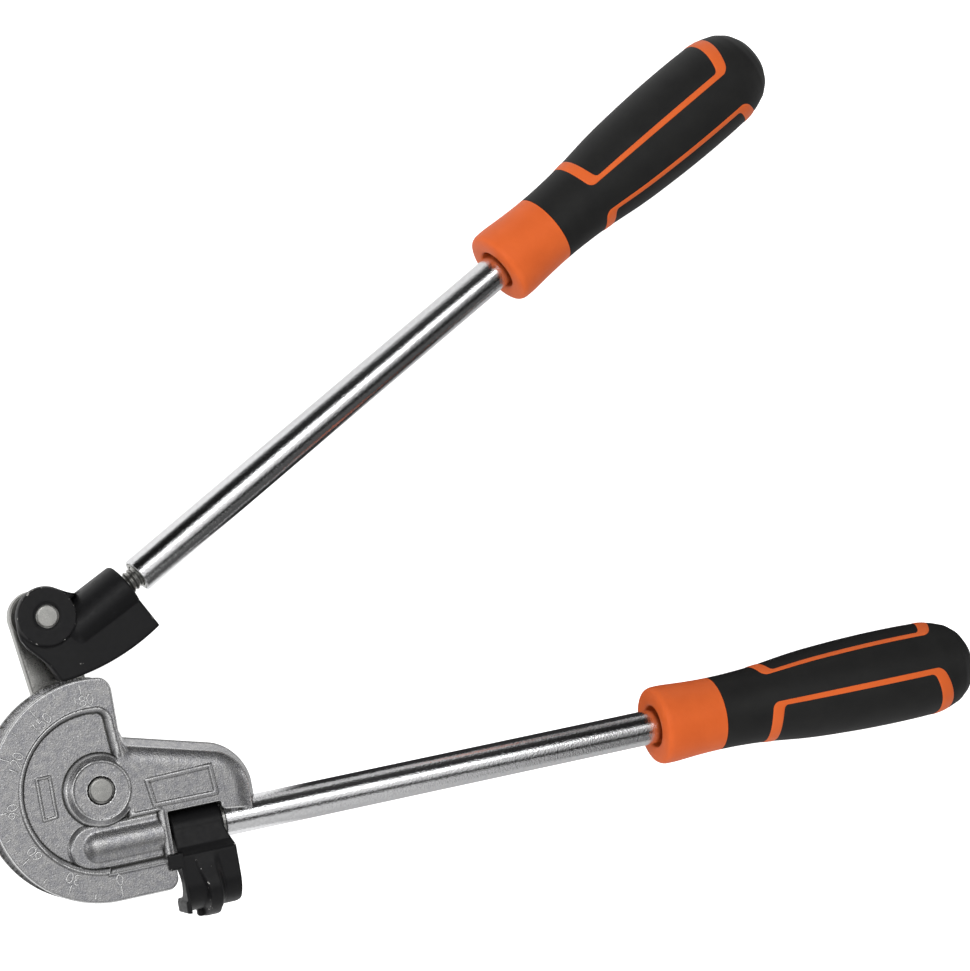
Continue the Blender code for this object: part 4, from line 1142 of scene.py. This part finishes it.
def make_orange():
    """Hard moulded plastic, orange, with a very fine moulded grain."""
    material, shader, tree, add = new_material("orange_plastic", 0.46, 0.0)
    pattern = skin(add, 60.0, 2600.0)
    colour = blend_colour(add, pattern.outputs["Cloud"], 0.30, 0.70, (0.620, 0.104, 0.0165),
                          (0.690, 0.122, 0.021))
    tree.links.new(colour, shader.inputs["Base Color"])
    bump = add("ShaderNodeBump", Height=pattern.outputs["Grain"], Strength=0.10,
               Distance=0.00004)
    tree.links.new(bump.outputs[0], shader.inputs["Normal"])
    return material


def make_rubber():
    """Soft-touch black cover: dull, with a fine grain."""
    material, shader, tree, add = new_material("black_rubber", 0.58, 0.0)
    pattern = skin(add, 90.0, 3000.0)
    colour = blend_colour(add, pattern.outputs["Cloud"], 0.30, 0.70, (0.010, 0.010, 0.010),
                          (0.014, 0.014, 0.0135))
    tree.links.new(colour, shader.inputs["Base Color"])
    bump = add("ShaderNodeBump", Height=pattern.outputs["Grain"], Strength=0.25,
               Distance=0.00005)
    tree.links.new(bump.outputs[0], shader.inputs["Normal"])
    return material


orange = make_orange()
rubber = make_rubber()


def outline_loop(edge_angle, front, front_bulge, end, end_bulge, corner, count=360):
    """Closed loop round one side of the grip, as distance along and angle from its middle.

    It is a rectangle with round corners, sampled at even steps, whose short sides are bowed.
    """
    scale = 0.30
    half = (90.0 - edge_angle) * scale
    length, width = end - front, 2.0 * half
    sides = np.array([length, width, length, width]) - 2.0 * corner
    bend = math.pi * corner / 2.0
    place = np.linspace(0.0, sides.sum() + 4.0 * bend, count, endpoint=False)
    along, across = np.zeros(count), np.zeros(count)
    start = 0.0
    centre = np.array([end - corner, -half + corner])
    turn = np.array([[0.0, -1.0], [1.0, 0.0]])
    spot, way = np.array([front + corner, -half]), np.array([1.0, 0.0])
    for side in sides:
        on = (place >= start) & (place <= start + side)
        along[on] = spot[0] + way[0] * (place[on] - start)
        across[on] = spot[1] + way[1] * (place[on] - start)
        spot = spot + way * side
        start += side
        left = turn @ way
        centre = spot + left * corner
        on = (place > start) & (place < start + bend)
        angle = (place[on] - start) / corner
        along[on] = centre[0] + corner * (np.sin(angle) * way[0] - np.cos(angle) * left[0])
        across[on] = centre[1] + corner * (np.sin(angle) * way[1] - np.cos(angle) * left[1])
        spot = centre + way * corner
        way = left
        start += bend
    share = (along - front) / length
    bow = np.abs(across / half)
    along = along + front_bulge * bow ** 3 * (1.0 - share) - end_bulge * bow ** 2 * share
    return along, 90.0 + across / scale


def make_outline(turn_degrees, side):
    """Ribbon between the two loops, a little proud of the cover and rounded across."""
    outer_s, outer_a = outline_loop(*outline_lines[0])
    inner_s, inner_a = outline_loop(*outline_lines[1])
    across = np.linspace(0.0, 1.0, 9)[:, None]
    along = outer_s + (inner_s - outer_s) * across
    angle = outer_a + (inner_a - outer_a) * across
    proud = 0.16 - 0.45 * np.abs(2.0 * across - 1.0) ** 6
    radius = grip_radius_at(along) + proud
    return along, np.radians(turn_degrees + side * angle), radius


for (name, centre, axis, body), start, spin in zip(handles, grip_starts, grip_turns):
    front = centre + axis * start
    collar_s = np.concatenate([np.linspace(grip_front, 6.5, 16), np.linspace(7.5, seam_place, 20)])
    collar = np.stack([collar_s, grip_radius_at(collar_s)], 1)
    lips = rounded_profile([(9.0, 0.0), (9.0, hole_radius - 0.4, 0.0),
                            (grip_front, hole_radius, 1.0), (grip_front, 0.6 * grip_radius)])
    seam = [(seam_place + 0.12, grip_radius_at(seam_place) - 0.35), (seam_place + 0.12, 0.0)]
    points, faces = lathe(np.concatenate([lips, collar[1:], seam]), axis=axis, centre=front,
                          facets=128)
    shape(name + "_grip_collar", points.reshape(-1, 3), faces, orange, body,
          sharp=50.0, nodes=[name + "_grip_core"])
    cover_s = np.concatenate([np.linspace(seam_place + 0.2, 128.0, 110),
                              128.0 + 20.5 * np.sin(np.radians(np.linspace(2.0, 90.0, 40)))])
    cover = np.stack([cover_s, grip_radius_at(cover_s)], 1)
    mouth = [(seam_place + 0.15, 0.0), (seam_place + 0.15, cover[0, 1] - 0.3)]
    points, faces = lathe(np.concatenate([mouth, cover]), axis=axis, centre=front, facets=160)
    shape(name + "_grip_skin", points.reshape(-1, 3), faces, rubber, body,
          sharp=50.0, nodes=[name + "_grip_cover"])
    for side, word in ((1.0, "left"), (-1.0, "right")):
        along, angle, radius = make_outline(spin, side)
        spoke = (np.cos(angle)[..., None] * np.array([0.0, 0.0, 1.0])
                 + np.sin(angle)[..., None] * np.cross((0.0, 0.0, 1.0), axis))
        grid = front + along[..., None] * axis + radius[..., None] * spoke
        rows, columns = along.shape
        faces = ring_faces(rows, columns)
        if side > 0.0:
            faces = faces[:, ::-1]
        mesh_points = grid.reshape(-1, 3)
        inner_row = front + along[..., None] * axis + (radius - 1.0)[..., None] * spoke
        under = inner_row[[-1, 0]].reshape(-1, 3)
        close = np.concatenate([ring_faces(2, columns) + rows * columns])
        joint_a = np.stack([np.arange(columns) + (rows - 1) * columns,
                            np.roll(np.arange(columns), -1) + (rows - 1) * columns,
                            np.roll(np.arange(columns), -1) + rows * columns,
                            np.arange(columns) + rows * columns], 1)
        joint_b = np.stack([np.arange(columns) + (rows + 1) * columns,
                            np.roll(np.arange(columns), -1) + (rows + 1) * columns,
                            np.roll(np.arange(columns), -1), np.arange(columns)], 1)
        extra = np.concatenate([joint_a, close, joint_b])
        if side > 0.0:
            extra = extra[:, ::-1]
        shape(name + "_grip_outline_" + word, np.concatenate([mesh_points, under]),
              np.concatenate([faces, extra]), orange, body, sharp=60.0)
